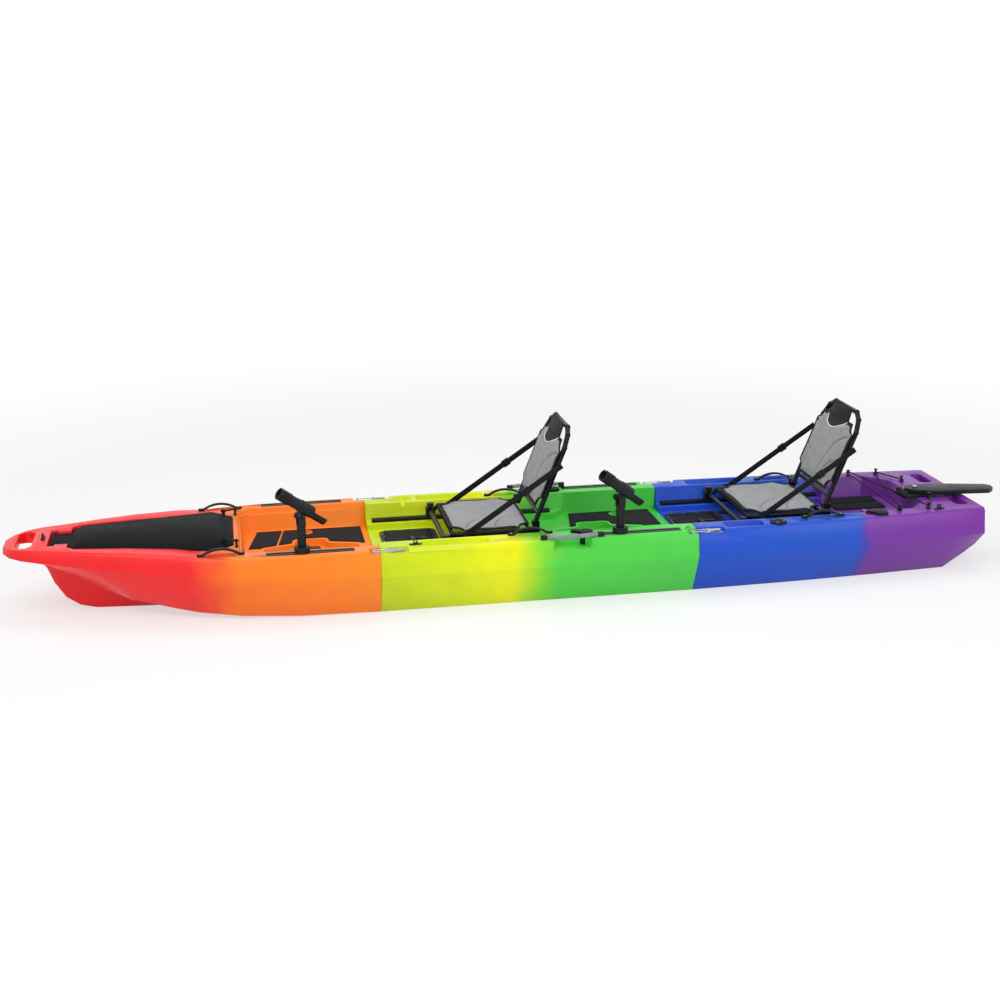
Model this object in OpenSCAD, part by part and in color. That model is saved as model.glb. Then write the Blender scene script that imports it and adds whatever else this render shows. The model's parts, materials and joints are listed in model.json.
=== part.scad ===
// Modular sit-on-top tandem kayak in three hull sections, with two framed seats.
// X runs aft along the hull, Y to starboard, Z up. Millimetres.
// The origin is on the keel's flat bottom, at the middle of the hull's length.

/* [Hull] */
// Overall length of the three joined hull sections
hull_len = 4200; // [4100:10:4400]
// Length of the bow section
bow_len = 1530; // [1500:5:1600]
// Length of the middle section
mid_len = 1345; // [1335:5:1400]
// Widest beam, at the crease along the side
beam = 860; // [840:2:920]
// Height of the side decks above the keel
gunwale_h = 287; // [275:1:320]
// Height of the cockpit floor above the keel
floor_h = 184; // [165:1:195]
// Height of the ledges that carry the seat rails
ledge_h = 212; // [208:1:225]
// Wall of the moulded hull
wall = 4.5; // [3.5:0.5:7]
// Gap between the end faces of two hull sections
joint_gap = 0.4; // [0.2:0.1:1]

/* [Cockpit] */
// Half width of the cockpit at the side decks
cockpit_half = 292; // [285:1:300]
// Half width of the sunk floor between the seat ledges
floor_half = 222; // [205:1:230]
// Half width of a footwell at its floor
footwell_half = 304; // [296:1:310]
// Length of the bow footwell
footwell_len = 545; // [520:5:570]
// Length of the tank well behind the rear seat
tankwell_len = 310; // [280:5:330]
// Drop of the channel round a drive well below the floor
channel_drop = 32; // [20:1:40]
// Half length of a drive well's opening
well_half_len = 156; // [140:1:165]
// Half width of a drive well's opening
well_half_w = 47; // [38:1:55]
// Radius of a scupper hole
scupper_r = 18; // [12:0.5:20]
// Thickness of the foam deck pads
pad_t = 5; // [3:0.5:8]

/* [Bow hatch] */
// Distance from the bow tip to the front edge of the lid
lid_setback = 268; // [262:1:285]
// Half width of the lid at its front edge
lid_front_half = 172; // [155:1:175]
// Half width of the lid at its rear edge
lid_rear_half = 268; // [250:1:272]
// Rise of the lid's raised panel above its skirt
lid_rise = 20; // [10:1:30]
// Width of the sloping facets round the lid's raised panel
lid_bevel = 45; // [30:1:60]
// Radius of the hinge rod
hinge_rod_r = 4; // [3:0.5:5]

/* [Floor hatches] */
// Length of a floor hatch frame along the hull
hatch_len = 248; // [230:2:252]
// Width of a floor hatch frame across the hull
hatch_w = 347; // [320:2:360]
// Width of the frame's rim
hatch_rim = 22; // [18:1:26]

/* [Fittings] */
// Length of a gear track
track_len = 356; // [330:2:370]
// Width of a gear track
track_w = 36; // [32:1:40]
// Outer radius of a flush rod tube
flush_r = 25; // [22:0.5:26]
// Depth of a flush rod tube
flush_len = 130; // [110:5:140]
// Length between the screws of a strap handle
strap_span = 165; // [140:1:180]
// Rise of a strap handle's arch
strap_rise = 30; // [24:1:40]
// Length between the brackets of a side carry handle
grip_span = 214; // [180:2:230]
// Diameter of the elastic cord
bungee_d = 6; // [4:0.5:8]

/* [Seats] */
// Distance of the front seat's back hinge aft of the front joint
front_hinge_x = 682; // [676:1:700]
// Distance from the front seat to the rear seat
seat_pitch = 1300; // [1290:1:1330]
// Height of the back hinge above the keel
hinge_h = 300; // [296:1:310]
// Distance from the seat's centre to a side tube
seat_half = 228; // [222:1:229]
// Radius of the seat's tubes
seat_tube_r = 11; // [9:0.5:12]
// Length of the seat's base, from its crossbar to the hinge
seat_len = 392; // [385:1:396]
// Length of the seat's back
back_len = 425; // [400:1:450]
// Lean of the seat's back from upright
back_lean = 22; // [15:1:30]
// Thickness of the seat pads at their edge
seat_pad_edge = 6; // [4:0.5:8]
// Crown of the seat pads above their edge
seat_pad_crown = 11; // [8:0.5:14]
// Depth of the stitched arcs in the seat pads
stitch_depth = 3; // [1:0.5:4]

/* [Rod holders] */
// Height of a rod holder's tilt pivot above the side deck
rod_pivot_h = 150; // [130:1:170]
// Outer radius of the rod cradle tube
cradle_r = 23; // [21:0.5:25]
// Length of the rod cradle tube
cradle_len = 241; // [200:1:260]
// Heading of the cradle, from the bow towards the outside
cradle_turn = 21; // [0:1:45]
// Tilt of the cradle above the horizontal
cradle_tilt = 36; // [20:1:60]

/* [Rudder] */
// Length of the rudder blade from its pin to its tip
blade_len = 350; // [320:5:380]
// Width of the rudder blade at its root
blade_w = 128; // [90:1:140]

/* [Hidden] */
$fn = 48;

// Small amounts shared by all parts
over = 1;
seat_clear = 0.3;
pin_clear = 0.05;
top_z = gunwale_h + 60;
half = beam / 2;

// Places along the hull
x_bow = -hull_len / 2;
x_front_joint = x_bow + bow_len;
x_rear_joint = x_front_joint + mid_len;
x_stern = hull_len / 2;

// Table of offsets of the bow: distance from the tip, then half breadth and height of the keel
// edge, the tunnel root, the chine and the side crease, then the deck's rise above the side decks.
// Half breadths are given for twice design_half, and grow and shrink with the beam.
bow_offsets = [
    [0, 30, 262, 45, 262, 60, 262, 72, 268, 3],
    [30, 30, 255, 70, 256, 105, 258, 128, 264, 7],
    [80, 34, 246, 90, 248, 140, 252, 172, 262, 12],
    [140, 34, 238, 74, 240, 124, 244, 196, 257, 15],
    [168, 30, 178, 48, 214, 78, 224, 204, 254, 15],
    [192, 32, 115, 52, 196, 88, 206, 211, 252, 15],
    [235, 36, 50, 60, 172, 102, 187, 224, 250, 15],
    [290, 42, 14, 70, 150, 118, 166, 243, 246, 15],
    [360, 50, 0, 82, 120, 144, 134, 268, 240, 15],
    [520, 65, 0, 100, 62, 205, 76, 315, 229, 15],
    [700, 82, 0, 124, 32, 258, 42, 362, 216, 9],
    [790, 90, 0, 137, 22, 284, 28, 383, 208, 0],
    [960, 100, 0, 152, 14, 322, 14, 408, 196, 0],
    [1200, 112, 0, 165, 12, 342, 4, 426, 182, 0],
    [bow_len, 120, 0, 170, 12, 345, 0, 430, 175, 0]
];
// Table of offsets of the stern, from the rear joint, in the same columns
stern_len = x_stern - x_rear_joint;
stern_offsets = [
    [0, 120, 0, 170, 12, 338, 0, 429, 175, 0],
    [450, 120, 0, 170, 12, 322, 0, 414, 174, 0],
    [800, 118, 0, 168, 12, 300, 0, 394, 172, 0],
    [stern_len - 150, 112, 0, 160, 12, 268, 0, 362, 170, 0],
    [stern_len, 100, 92, 150, 100, 262, 96, 352, 175, 0]
];
design_half = 430;
rim_in = 14;
rim_h = 12;
rim_top = 10;

// A station is [x, keel, tunnel root, chine, crease, deck height], each point as [y, z]
function wider(y) = y + (half - design_half) * y / design_half;
function station(x0, o) = [
    x0 + o[0], [wider(o[1]), o[2]], [wider(o[3]), o[4]], [wider(o[5]), o[6]],
    [wider(o[7]), o[8]], gunwale_h + o[9]
];
bow_stations = [for (o = bow_offsets) station(x_bow, o)];
stern_stations = [for (o = stern_offsets) station(x_rear_joint, o)];
mid_stations = [
    concat([x_front_joint], [for (i = [1:5]) bow_stations[len(bow_stations) - 1][i]]),
    concat([x_rear_joint], [for (i = [1:5]) stern_stations[0][i]])
];
function at_x(s, x) = concat([x], [for (i = [1:5]) s[i]]);

// Ring of a station, drawn in by g all round
function half_ring(s, g) = [
    [s[1][0] - g, s[1][1] + g], [s[2][0] - g, s[2][1] + g], [s[3][0] - g, s[3][1] + g],
    [s[4][0] - g, s[4][1] + g / 2], [s[4][0] - rim_in - g, s[5] - rim_h - g],
    [s[4][0] - rim_in - rim_top - g, s[5] - g]
];
function ring(s, g = 0) = let (h = half_ring(s, g)) concat(
    [for (p = h) [s[0], p[0], p[1]]],
    [for (i = [len(h) - 1:-1:0]) [s[0], -h[i][0], h[i][1]]]
);

// Closed skin through rings of equal length, each turning the same way
module skin(rings) {
    n = len(rings[0]);
    m = len(rings);
    sides = [
        for (k = [0:m - 2]) for (i = [0:n - 1])
            let (j = (i + 1) % n, a = k * n, b = a + n)
                each [[a + i, b + i, b + j], [a + i, b + j, a + j]]
    ];
    polyhedron(
        points = [for (r = rings) each r],
        faces = concat(
            [[for (i = [0:n - 1]) i]], sides, [[for (i = [n - 1:-1:0]) (m - 1) * n + i]]
        )
    );
}

// Straight tube between two points
module rod(p, q, r) {
    d = q - p;
    l = norm(d);
    translate(p)
        rotate([0, acos(d[2] / l), atan2(d[1], d[0])])
            cylinder(r = r, h = l);
}

// Both sides of the boat, from a part drawn to starboard
module both_sides() {
    children();
    mirror([0, 1, 0]) children();
}
module on_side(side) {
    if (side > 0)
        children();
    else
        mirror([0, 1, 0]) children();
}

// Rectangle with cut corners, grown by g, and the pocket that it cuts down to z
function eight(x0, x1, y0, y1, c, g = 0) = [
    [x0 + c - g / 2, y0 - g], [x1 - c + g / 2, y0 - g], [x1 + g, y0 + c - g / 2],
    [x1 + g, y1 - c + g / 2], [x1 - c + g / 2, y1 + g], [x0 + c - g / 2, y1 + g],
    [x0 - g, y1 - c + g / 2], [x0 - g, y0 + c - g / 2]
];
function lift(pts, z) = [for (p = pts) [p[0], p[1], z]];
module pocket(x0, x1, y0, y1, c, z, draft, g) {
    rise = (gunwale_h - z) / (top_z - z);
    flare = draft / rise;
    skin([
        lift(eight(x0, x1, y0, y1, c, g), z - g),
        lift(eight(x0 - flare, x1 + flare, y0 - flare, y1 + flare, c, g), top_z)
    ]);
}
module prism(pts, z0, z1) {
    translate([0, 0, z0])
        linear_extrude(z1 - z0)
            polygon(pts);
}
// Outline that is the same on both sides and at both ends, from its first quarter
function four_way(q) = let (n = len(q)) concat(
    q, [for (i = [n - 1:-1:0]) [-q[i][0], q[i][1]]], [for (p = q) [-p[0], -p[1]]],
    [for (i = [n - 1:-1:0]) [q[i][0], -q[i][1]]]
);

// Drive wells: the opening, the frame round it and the channel in the floor
well_x = [x_front_joint - 258, x_rear_joint - 335];
channel_z = floor_h - channel_drop;
lobe_half = 66;
lobe_reach = 118;
frame_w = 22;
channel_margin = 26;
well_tip = 18;
function well_pts(g = 0) = four_way([
    [well_half_len + g, well_tip + g / 2], [40, well_half_w + g]
]);
function frame_pts(g = 0) = four_way([
    [well_half_len + frame_w + g, well_tip + g], [lobe_half - 20 + g, well_half_w + frame_w / 2 + g],
    [lobe_half - 26 + g, lobe_reach - 12 + g], [lobe_half - 44 + g, lobe_reach + g]
]);

// Bow hatch lid outline, drawn in by i
x_lid_front = x_bow + lid_setback;
x_footwell = x_front_joint - footwell_len;
x_lid_rear = x_footwell - 46;
lid_z = gunwale_h - 11;
lid_seal_t = 4;
lid_skirt = 11;
lid_bottom = lid_z + lid_seal_t + seat_clear;
lid_corner = 30;
lid_rear_corner = 64;
function lid_half_pts(i) = [
    [x_lid_front + i, lid_front_half - lid_corner - i / 2],
    [x_lid_front + lid_corner + i / 2, lid_front_half - i],
    [x_lid_rear - lid_rear_corner - i / 2, lid_rear_half - i],
    [x_lid_rear - i, lid_rear_half - lid_rear_corner - i / 2]
];
function lid_pts(i) = let (h = lid_half_pts(i)) concat(
    [for (p = h) [p[0], -p[1]]], [for (k = [3:-1:0]) h[k]]
);
neck_half = 90;
neck_len = 73;
x_hinge = x_lid_front - neck_len;
lid_hinge_z = lid_z + 12;
barrel_r = 8;
hinge_ear_w = 16;
lid_gap = 3;
seal_w = 16;

// Floor hatches
hatch_x = [x_front_joint + 171, x_rear_joint + 130];
hatch_t = 10;
hatch_flange = 3;
hatch_open_len = hatch_len - 2 * hatch_rim;
hatch_open_w = hatch_w - 2 * hatch_rim;
hatch_lip = 12;
lid_play = 1.5;
hatch_pin_r = 2.5;
hatch_barrel_r = 4.5;
hatch_barrel_half = 60;
hatch_lid_z = floor_h + hatch_flange + seat_clear;
hatch_lid_t = 6.5;
hatch_pin_z = floor_h + hatch_t + 1;
hatch_ear_w = 10;

// Side deck fittings
track_y = half - 62;
track_h = 12;
track_sink = 10;
bow_track_x = x_front_joint - 104 - track_len;
mid_track_x = x_rear_joint - 70 - track_len;
track_starts = [bow_track_x, mid_track_x];
flush_x = [x_rear_joint - 475, x_rear_joint + 842];
flush_y = [half - 86, half - 99];
flush_flange = 34;
flush_flange_t = 4;
tray_in = cockpit_half + 18;
tray_out = half - 52;
tray_h = 36;
// Each tray as [start, end, side]
mid_trays = [
    [x_front_joint + 240, x_front_joint + 536, 1], [x_front_joint + 158, x_front_joint + 450, -1]
];
stern_trays = [
    [x_rear_joint + 165, x_rear_joint + 420, 1], [x_rear_joint + 135, x_rear_joint + 300, -1]
];
cup_r = 39;
mid_cup = [x_front_joint + 171, half - 82];
stern_cup = [x_rear_joint + 735, half - 92];
cup_depth = 40;
port_x = x_rear_joint + 366;
port_y = half - 66;
port_r = 27;
bow_strap_x = x_footwell - 97;
bow_strap_y = half - 92;
mid_strap_x = x_front_joint + 640;
mid_strap_y = cockpit_half + 19;
stern_strap_x = x_rear_joint + 582;
stern_strap_y = half - 110;
// Each pair of strap handles as [x, y]
strap_places = [
    [bow_strap_x, bow_strap_y], [mid_strap_x, mid_strap_y], [stern_strap_x, stern_strap_y]
];
strap_w = 20;
strap_t = 6;
strap_foot_r = 13;
finger_drop = 16;
finger_half = 56;
finger_out = 26;
grip_x = x_rear_joint - 543;
grip_y = half - 30;
grip_h = 12;
scoop_drop = 44;
scoop_half = 98;
scoop_in = half - 78;

// Draw latches across the joints
latch_y = half - 38;
latch_drop = 15;
latch_pocket_in = latch_y - 26;
latch_fore = 45;
latch_aft = 116;
joint_x = [x_front_joint, x_rear_joint];

// Stern deck
slot_in = 112;
slot_out = 262;
slot_x0 = x_stern - 96;
slot_x1 = x_stern - 40;
insert_x = x_stern - 47;
insert_dx = 72;
insert_dy = 160;
insert_r = 6;
insert_bore_r = 3.4;
insert_len = 18;
block_half = 56;
block_len = 64;
block_drop = 70;
x_tank = x_rear_joint + 778;
tank_z = floor_h + 16;
tank_half = 262;
tank_corner = 95;
bow_slot_x0 = x_bow + 50;
bow_slot_x1 = x_bow + 118;
bow_slot_half = 118;
plug_places = [
    [x_rear_joint + 292, 165], [x_rear_joint + 292, 0], [x_rear_joint + 292, -165]
];
scupper_places = [
    [x_front_joint - 270, 240], [x_front_joint - 270, -240],
    [x_rear_joint - 205, 240], [x_rear_joint - 205, -240]
];
boss_r = 28;

// Pockets of each hull section. With g = 0 they are the pockets themselves, and with g = wall the
// space that the hollow inside the hull leaves round them.
module drive_well_cut(x, g) {
    translate([x, 0, 0]) {
        prism(frame_pts(channel_margin + g), channel_z - g, floor_h + over);
        prism(well_pts(g), -over, channel_z);
    }
}
module scupper_cuts(places, g) {
    for (p = places)
        translate([p[0], p[1], -over])
            cylinder(r = scupper_r + g, h = floor_h + 2 * over);
}
module track_cuts(x, g) {
    both_sides()
        translate([x - over - g, track_y - track_w / 2 - over - g, gunwale_h - track_sink - g])
            cube([
                track_len + 2 * (over + g), track_w + 2 * (over + g), top_z - gunwale_h + track_sink + g
            ]);
}
module finger_cuts(x, y, g) {
    both_sides()
        pocket(
            x - finger_half, x + finger_half, y - strap_w / 2 - over, y + finger_out,
            8, gunwale_h - finger_drop, 4, g
        );
}
module latch_cuts(x, g) {
    both_sides()
        translate([x - latch_fore - g, latch_pocket_in - g, gunwale_h - latch_drop - g])
            cube([latch_fore + latch_aft + 2 * g, half, top_z]);
}
module flush_cuts(i) {
    both_sides()
        translate([flush_x[i], flush_y[i], gunwale_h - flush_len - over])
            cylinder(r = flush_r + seat_clear, h = top_z);
}
module tray_cuts(trays, g) {
    for (t = trays)
        on_side(t[2])
            pocket(t[0], t[1], tray_in, tray_out, 12, gunwale_h - tray_h, 4, g);
}
module hatch_cut(x) {
    translate([x - hatch_open_len / 2 + hatch_lip, -hatch_open_w / 2 + hatch_lip, floor_h - 40])
        cube([hatch_open_len - 2 * hatch_lip, hatch_open_w - 2 * hatch_lip, 80]);
}
module bow_cuts(g) {
    pocket(bow_slot_x0, bow_slot_x1, -bow_slot_half, bow_slot_half, 24, 180, 0, g);
    skin([lift(lid_pts(-lid_gap - g), lid_z - g), lift(lid_pts(-lid_gap - g), top_z)]);
    translate([x_hinge - barrel_r - 6 - g, -neck_half - hinge_ear_w - 8 - g, lid_z - g])
        cube([2 * barrel_r + 14 + 2 * g, 2 * (neck_half + hinge_ear_w + 8 + g), top_z]);
    translate([x_hinge - g, -neck_half - lid_gap - g, lid_z - g])
        cube([neck_len + 2 * g, 2 * (neck_half + lid_gap + g), top_z]);
    pocket(
        x_footwell, x_front_joint + 60, -footwell_half, footwell_half, 36, floor_h, 16, g
    );
    pocket(
        x_footwell - 18, x_front_joint + 90, -footwell_half - 22, footwell_half + 22,
        50, gunwale_h - 26, 6, g
    );
    drive_well_cut(well_x[0], g);
    scupper_cuts([scupper_places[0], scupper_places[1]], g);
    track_cuts(bow_track_x, g);
    finger_cuts(bow_strap_x, bow_strap_y, g);
    latch_cuts(x_front_joint, g);
}
module mid_cuts(g) {
    x0 = x_front_joint - 60;
    x1 = x_rear_joint + 60;
    x_green = x_rear_joint - 490;
    pocket(x0, x1, -cockpit_half + 12, cockpit_half - 12, 10, ledge_h, 12, g);
    pocket(x0, x_green + 60, -floor_half, floor_half, 20, floor_h, 3, g);
    pocket(x_green, x1, -footwell_half + 12, footwell_half - 12, 60, floor_h, 2, g);
    drive_well_cut(well_x[1], g);
    scupper_cuts([scupper_places[2], scupper_places[3]], g);
    tray_cuts(mid_trays, g);
    translate([mid_cup[0], mid_cup[1], gunwale_h - cup_depth / 2 - g])
        cylinder(r = cup_r + g, h = top_z);
    translate([mid_cup[0] - 11 - g, cockpit_half - 20, gunwale_h - cup_depth / 2 - g])
        cube([22 + 2 * g, mid_cup[1] - cockpit_half + 20, top_z]);
    track_cuts(mid_track_x, g);
    finger_cuts(mid_strap_x, mid_strap_y, g);
    both_sides()
        prism([
            [grip_x - scoop_half + 45 - g, scoop_in - g], [grip_x + scoop_half - 45 + g, scoop_in - g],
            [grip_x + scoop_half + g, half + 20], [grip_x - scoop_half - g, half + 20]
        ], gunwale_h - scoop_drop - g, top_z);
    latch_cuts(x_front_joint, g);
    latch_cuts(x_rear_joint, g);
}
module stern_cuts(g) {
    x0 = x_rear_joint - 60;
    pocket(x0, x_tank, -cockpit_half + 12, cockpit_half - 12, 10, ledge_h, 12, g);
    pocket(x0, x_tank - 5, -floor_half, floor_half, 20, floor_h, 3, g);
    pocket(
        x_tank - 30, x_tank + tankwell_len, -tank_half, tank_half, tank_corner, tank_z, 14, g
    );
    scupper_cuts(plug_places, g);
    tray_cuts(stern_trays, g);
    translate([stern_cup[0], stern_cup[1], gunwale_h - cup_depth - g])
        cylinder(r = cup_r - 4 + g, h = top_z);
    finger_cuts(stern_strap_x, stern_strap_y, g);
    both_sides()
        pocket(slot_x0, slot_x1, slot_in, slot_out, 14, 8, 0, g);
    translate([x_stern - block_len - g, -block_half - g, gunwale_h - block_drop - g])
        cube([block_len + 60, 2 * (block_half + g), top_z]);
    latch_cuts(x_rear_joint, g);
}
// Holes through the deck alone, which open into the hollow hull
module bow_holes() {
    skin([lift(lid_pts(seal_w + 4), lid_z - 60), lift(lid_pts(seal_w + 4), top_z)]);
}
module mid_holes() {
    hatch_cut(hatch_x[0]);
    flush_cuts(0);
}
module stern_holes() {
    hatch_cut(hatch_x[1]);
    flush_cuts(1);
    translate([port_x, -port_y, gunwale_h - 40])
        cylinder(r = port_r + seat_clear, h = 80);
    for (i = [-1, 1], j = [-1, 1])
        translate([insert_x + i * insert_dx / 2, j * insert_dy / 2, gunwale_h - insert_len])
            cylinder(r = insert_r + pin_clear, h = top_z);
}

// Hollow inside a section, from its stations drawn in by the wall
void_start = 230;
module bow_void() {
    s = [for (s = bow_stations) if (s[0] >= x_bow + void_start && s[0] < x_front_joint - over) s];
    last = at_x(bow_stations[len(bow_stations) - 1], x_front_joint - joint_gap / 2 - wall);
    difference() {
        skin([for (t = concat(s, [last])) ring(t, wall)]);
        bow_cuts(wall);
    }
}
module mid_void() {
    difference() {
        skin([
            ring(at_x(mid_stations[0], x_front_joint + joint_gap / 2 + wall), wall),
            ring(at_x(mid_stations[1], x_rear_joint - joint_gap / 2 - wall), wall)
        ]);
        mid_cuts(wall);
    }
}
module stern_void() {
    s = [for (s = stern_stations) if (s[0] > x_rear_joint + over && s[0] < x_stern - over) s];
    first = at_x(stern_stations[0], x_rear_joint + joint_gap / 2 + wall);
    last = at_x(stern_stations[len(stern_stations) - 1], x_stern - wall);
    difference() {
        skin([for (t = concat([first], s, [last])) ring(t, wall)]);
        stern_cuts(wall);
    }
}

module bow_hull() {
    s = [for (s = bow_stations) if (s[0] < x_front_joint - over) s];
    last = at_x(bow_stations[len(bow_stations) - 1], x_front_joint - joint_gap / 2);
    color("orangered") {
        difference() {
            skin([for (t = concat(s, [last])) ring(t)]);
            bow_void();
            bow_cuts(0);
            bow_holes();
        }
        scupper_bosses([scupper_places[0], scupper_places[1]]);
    }
}
module mid_hull() {
    color("yellowgreen") {
        difference() {
            skin([
                ring(at_x(mid_stations[0], x_front_joint + joint_gap / 2)),
                ring(at_x(mid_stations[1], x_rear_joint - joint_gap / 2))
            ]);
            mid_void();
            mid_cuts(0);
            mid_holes();
        }
        scupper_bosses([scupper_places[2], scupper_places[3]]);
    }
}
module stern_hull() {
    s = [for (s = stern_stations) if (s[0] > x_rear_joint + over) s];
    first = at_x(stern_stations[0], x_rear_joint + joint_gap / 2);
    color("royalblue")
        difference() {
            skin([for (t = concat([first], s)) ring(t)]);
            stern_void();
            stern_cuts(0);
            stern_holes();
        }
}
// Raised rings round the open scuppers
module scupper_bosses(places) {
    for (p = places)
        translate([p[0], p[1], floor_h - wall / 2])
            difference() {
                cylinder(r = boss_r, h = pad_t + wall / 2);
                translate([0, 0, -over])
                    cylinder(r = scupper_r, h = pad_t + wall + 2 * over);
            }
}

// Bow hatch
module bow_hatch_lid() {
    z1 = lid_bottom + lid_skirt;
    z2 = z1 + lid_rise;
    shell = 4;
    knob_r = 7;
    color("dimgray") {
        difference() {
            union() {
                skin([
                    lift(lid_pts(0), lid_bottom), lift(lid_pts(0), z1), lift(lid_pts(lid_bevel), z2)
                ]);
                translate([x_hinge, -neck_half, lid_bottom])
                    cube([neck_len + lid_bevel / 2, 2 * neck_half, lid_skirt]);
                translate([x_hinge, neck_half, lid_hinge_z])
                    rotate([90, 0, 0])
                        cylinder(r = barrel_r, h = 2 * neck_half);
                both_sides()
                    translate([band_lid[0], band_lid[1], z1])
                        cylinder(r = knob_r, h = band_z + band_t + 4 - z1);
            }
            skin([
                lift(lid_pts(2 * shell), lid_bottom - over), lift(lid_pts(2 * shell), z1 - shell),
                lift(lid_pts(lid_bevel + shell), z2 - shell)
            ]);
            translate([x_hinge, neck_half + over, lid_hinge_z])
                rotate([90, 0, 0])
                    cylinder(r = hinge_rod_r + pin_clear, h = 2 * (neck_half + over));
        }
    }
}
module bow_hatch_seal() {
    color("black")
        difference() {
            prism(lid_pts(2), lid_z, lid_z + lid_seal_t);
            prism(lid_pts(seal_w), lid_z - over, lid_z + lid_seal_t + over);
        }
}
module bow_lid_hinge() {
    color("black") {
        both_sides()
            translate([x_hinge - barrel_r, neck_half + 2, lid_z])
                difference() {
                    cube([2 * barrel_r, hinge_ear_w, lid_hinge_z - lid_z + barrel_r]);
                    translate([barrel_r, hinge_ear_w + over, lid_hinge_z - lid_z])
                        rotate([90, 0, 0])
                            cylinder(r = hinge_rod_r + pin_clear, h = hinge_ear_w + 2 * over);
                }
        translate([x_hinge, neck_half + hinge_ear_w, lid_hinge_z])
            rotate([90, 0, 0])
                cylinder(r = hinge_rod_r, h = 2 * (neck_half + hinge_ear_w));
    }
}
// Rubber loops that hold the lid's rear corners, each from a deck stud to a knob on the lid
band_z = lid_bottom + lid_skirt + lid_rise + 1;
band_t = 6;
band_lid = [x_lid_rear - 36, lid_rear_half - lid_rear_corner + 6];
band_deck = [x_lid_rear + 14, lid_rear_half - 30];
band_stud_r = 5;
band_knob_hole = 7.6;
module lid_bands() {
    d = band_deck - band_lid;
    color("black")
        both_sides() {
            translate([band_lid[0], band_lid[1], band_z])
                difference() {
                    union() {
                        cylinder(r = band_knob_hole + 4, h = band_t);
                        rotate([0, 0, atan2(d[1], d[0])])
                            translate([0, -4, 0])
                                cube([norm(d), 8, band_t]);
                        translate([d[0], d[1], 0])
                            cylinder(r = band_stud_r + 5, h = band_t);
                    }
                    translate([0, 0, -over])
                        cylinder(r = band_knob_hole, h = band_t + 2 * over);
                    translate([d[0], d[1], -over])
                        cylinder(r = band_stud_r + seat_clear, h = band_t + 2 * over);
                }
        }
}

// Black frames round the two drive wells, with a lobe each side for the drive's clamps
frame_t = 8;
module drive_well_frames() {
    color("black")
        for (x = well_x)
            translate([x, 0, 0])
                difference() {
                    prism(frame_pts(), channel_z, channel_z + frame_t);
                    prism(well_pts(), channel_z - over, channel_z + frame_t + over);
                }
}

// Foam pads glued to the footwell and tank well floors
pad_gap = 10;
pad_ring = 4;
module deck_pads() {
    color("darkslategray") {
        both_sides() {
            floor_pad(x_footwell + 18, x_front_joint - 26, well_x[0], scupper_places[0], true);
            floor_pad(x_rear_joint - 455, x_rear_joint - 40, well_x[1], scupper_places[2], false);
            tank_pads();
        }
    }
}
// One side's pad in a footwell, cut round the drive channel and the scupper boss, and split
// across near its front end where the footwell is long
module floor_pad(x0, x1, xw, scupper, split) {
    y_out = footwell_half - 22;
    lean = 42;
    split_x = 150;
    difference() {
        prism([[x0, 44], [x1, 44], [x1, y_out], [x0 + lean, y_out]], floor_h, floor_h + pad_t);
        translate([xw, 0, 0])
            prism(frame_pts(channel_margin + pad_gap), floor_h - over, floor_h + pad_t + over);
        translate([scupper[0], scupper[1], floor_h - over])
            cylinder(r = boss_r + pad_ring, h = pad_t + 2 * over);
        if (split)
            prism([
                [x0 + split_x - lean, 0], [x0 + split_x - lean + pad_gap, 0],
                [x0 + split_x + pad_gap, y_out + over], [x0 + split_x, y_out + over]
            ], floor_h - over, floor_h + pad_t + over);
    }
}
module tank_pads() {
    pad_w = 92;
    intersection() {
        for (i = [0, 1])
            prism(
                eight(
                    x_tank + 6, x_tank + tankwell_len - 60, 32 + i * (pad_w + pad_gap),
                    32 + pad_w + i * (pad_w + pad_gap), 10
                ), tank_z, tank_z + pad_t
            );
        prism(
            eight(x_tank - 30, x_tank + tankwell_len, -tank_half, tank_half, tank_corner, -pad_gap),
            tank_z - over, tank_z + pad_t + over
        );
    }
}

// Aluminium channels with a T slot
module channel_track(l, w, h, slot) {
    lip = 2.5;
    side = 3;
    difference() {
        translate([0, -w / 2, 0])
            cube([l, w, h]);
        translate([-over, -slot / 2, 2])
            cube([l + 2 * over, slot, h]);
        translate([-over, -w / 2 + side, 2])
            cube([l + 2 * over, w - 2 * side, h - 2 - lip]);
    }
}
track_slot = 12;
module gear_tracks() {
    color("dimgray")
        for (x = track_starts)
            both_sides()
                translate([x, track_y, gunwale_h - track_sink])
                    channel_track(track_len, track_w, track_h, track_slot);
}
rail_y = cockpit_half - 40;
rail_w = 26;
rail_h = 16;
rail_slot = 9;
rail_top = ledge_h + rail_h;
front_rail = [x_front_joint + 25, x_rear_joint - 509];
rear_rail = [x_rear_joint + 16, x_tank - 12];
module seat_rails() {
    color("dimgray")
        for (r = [front_rail, rear_rail])
            both_sides()
                translate([r[0], rail_y, ledge_h])
                    channel_track(r[1] - r[0], rail_w, rail_h, rail_slot);
}

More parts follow.
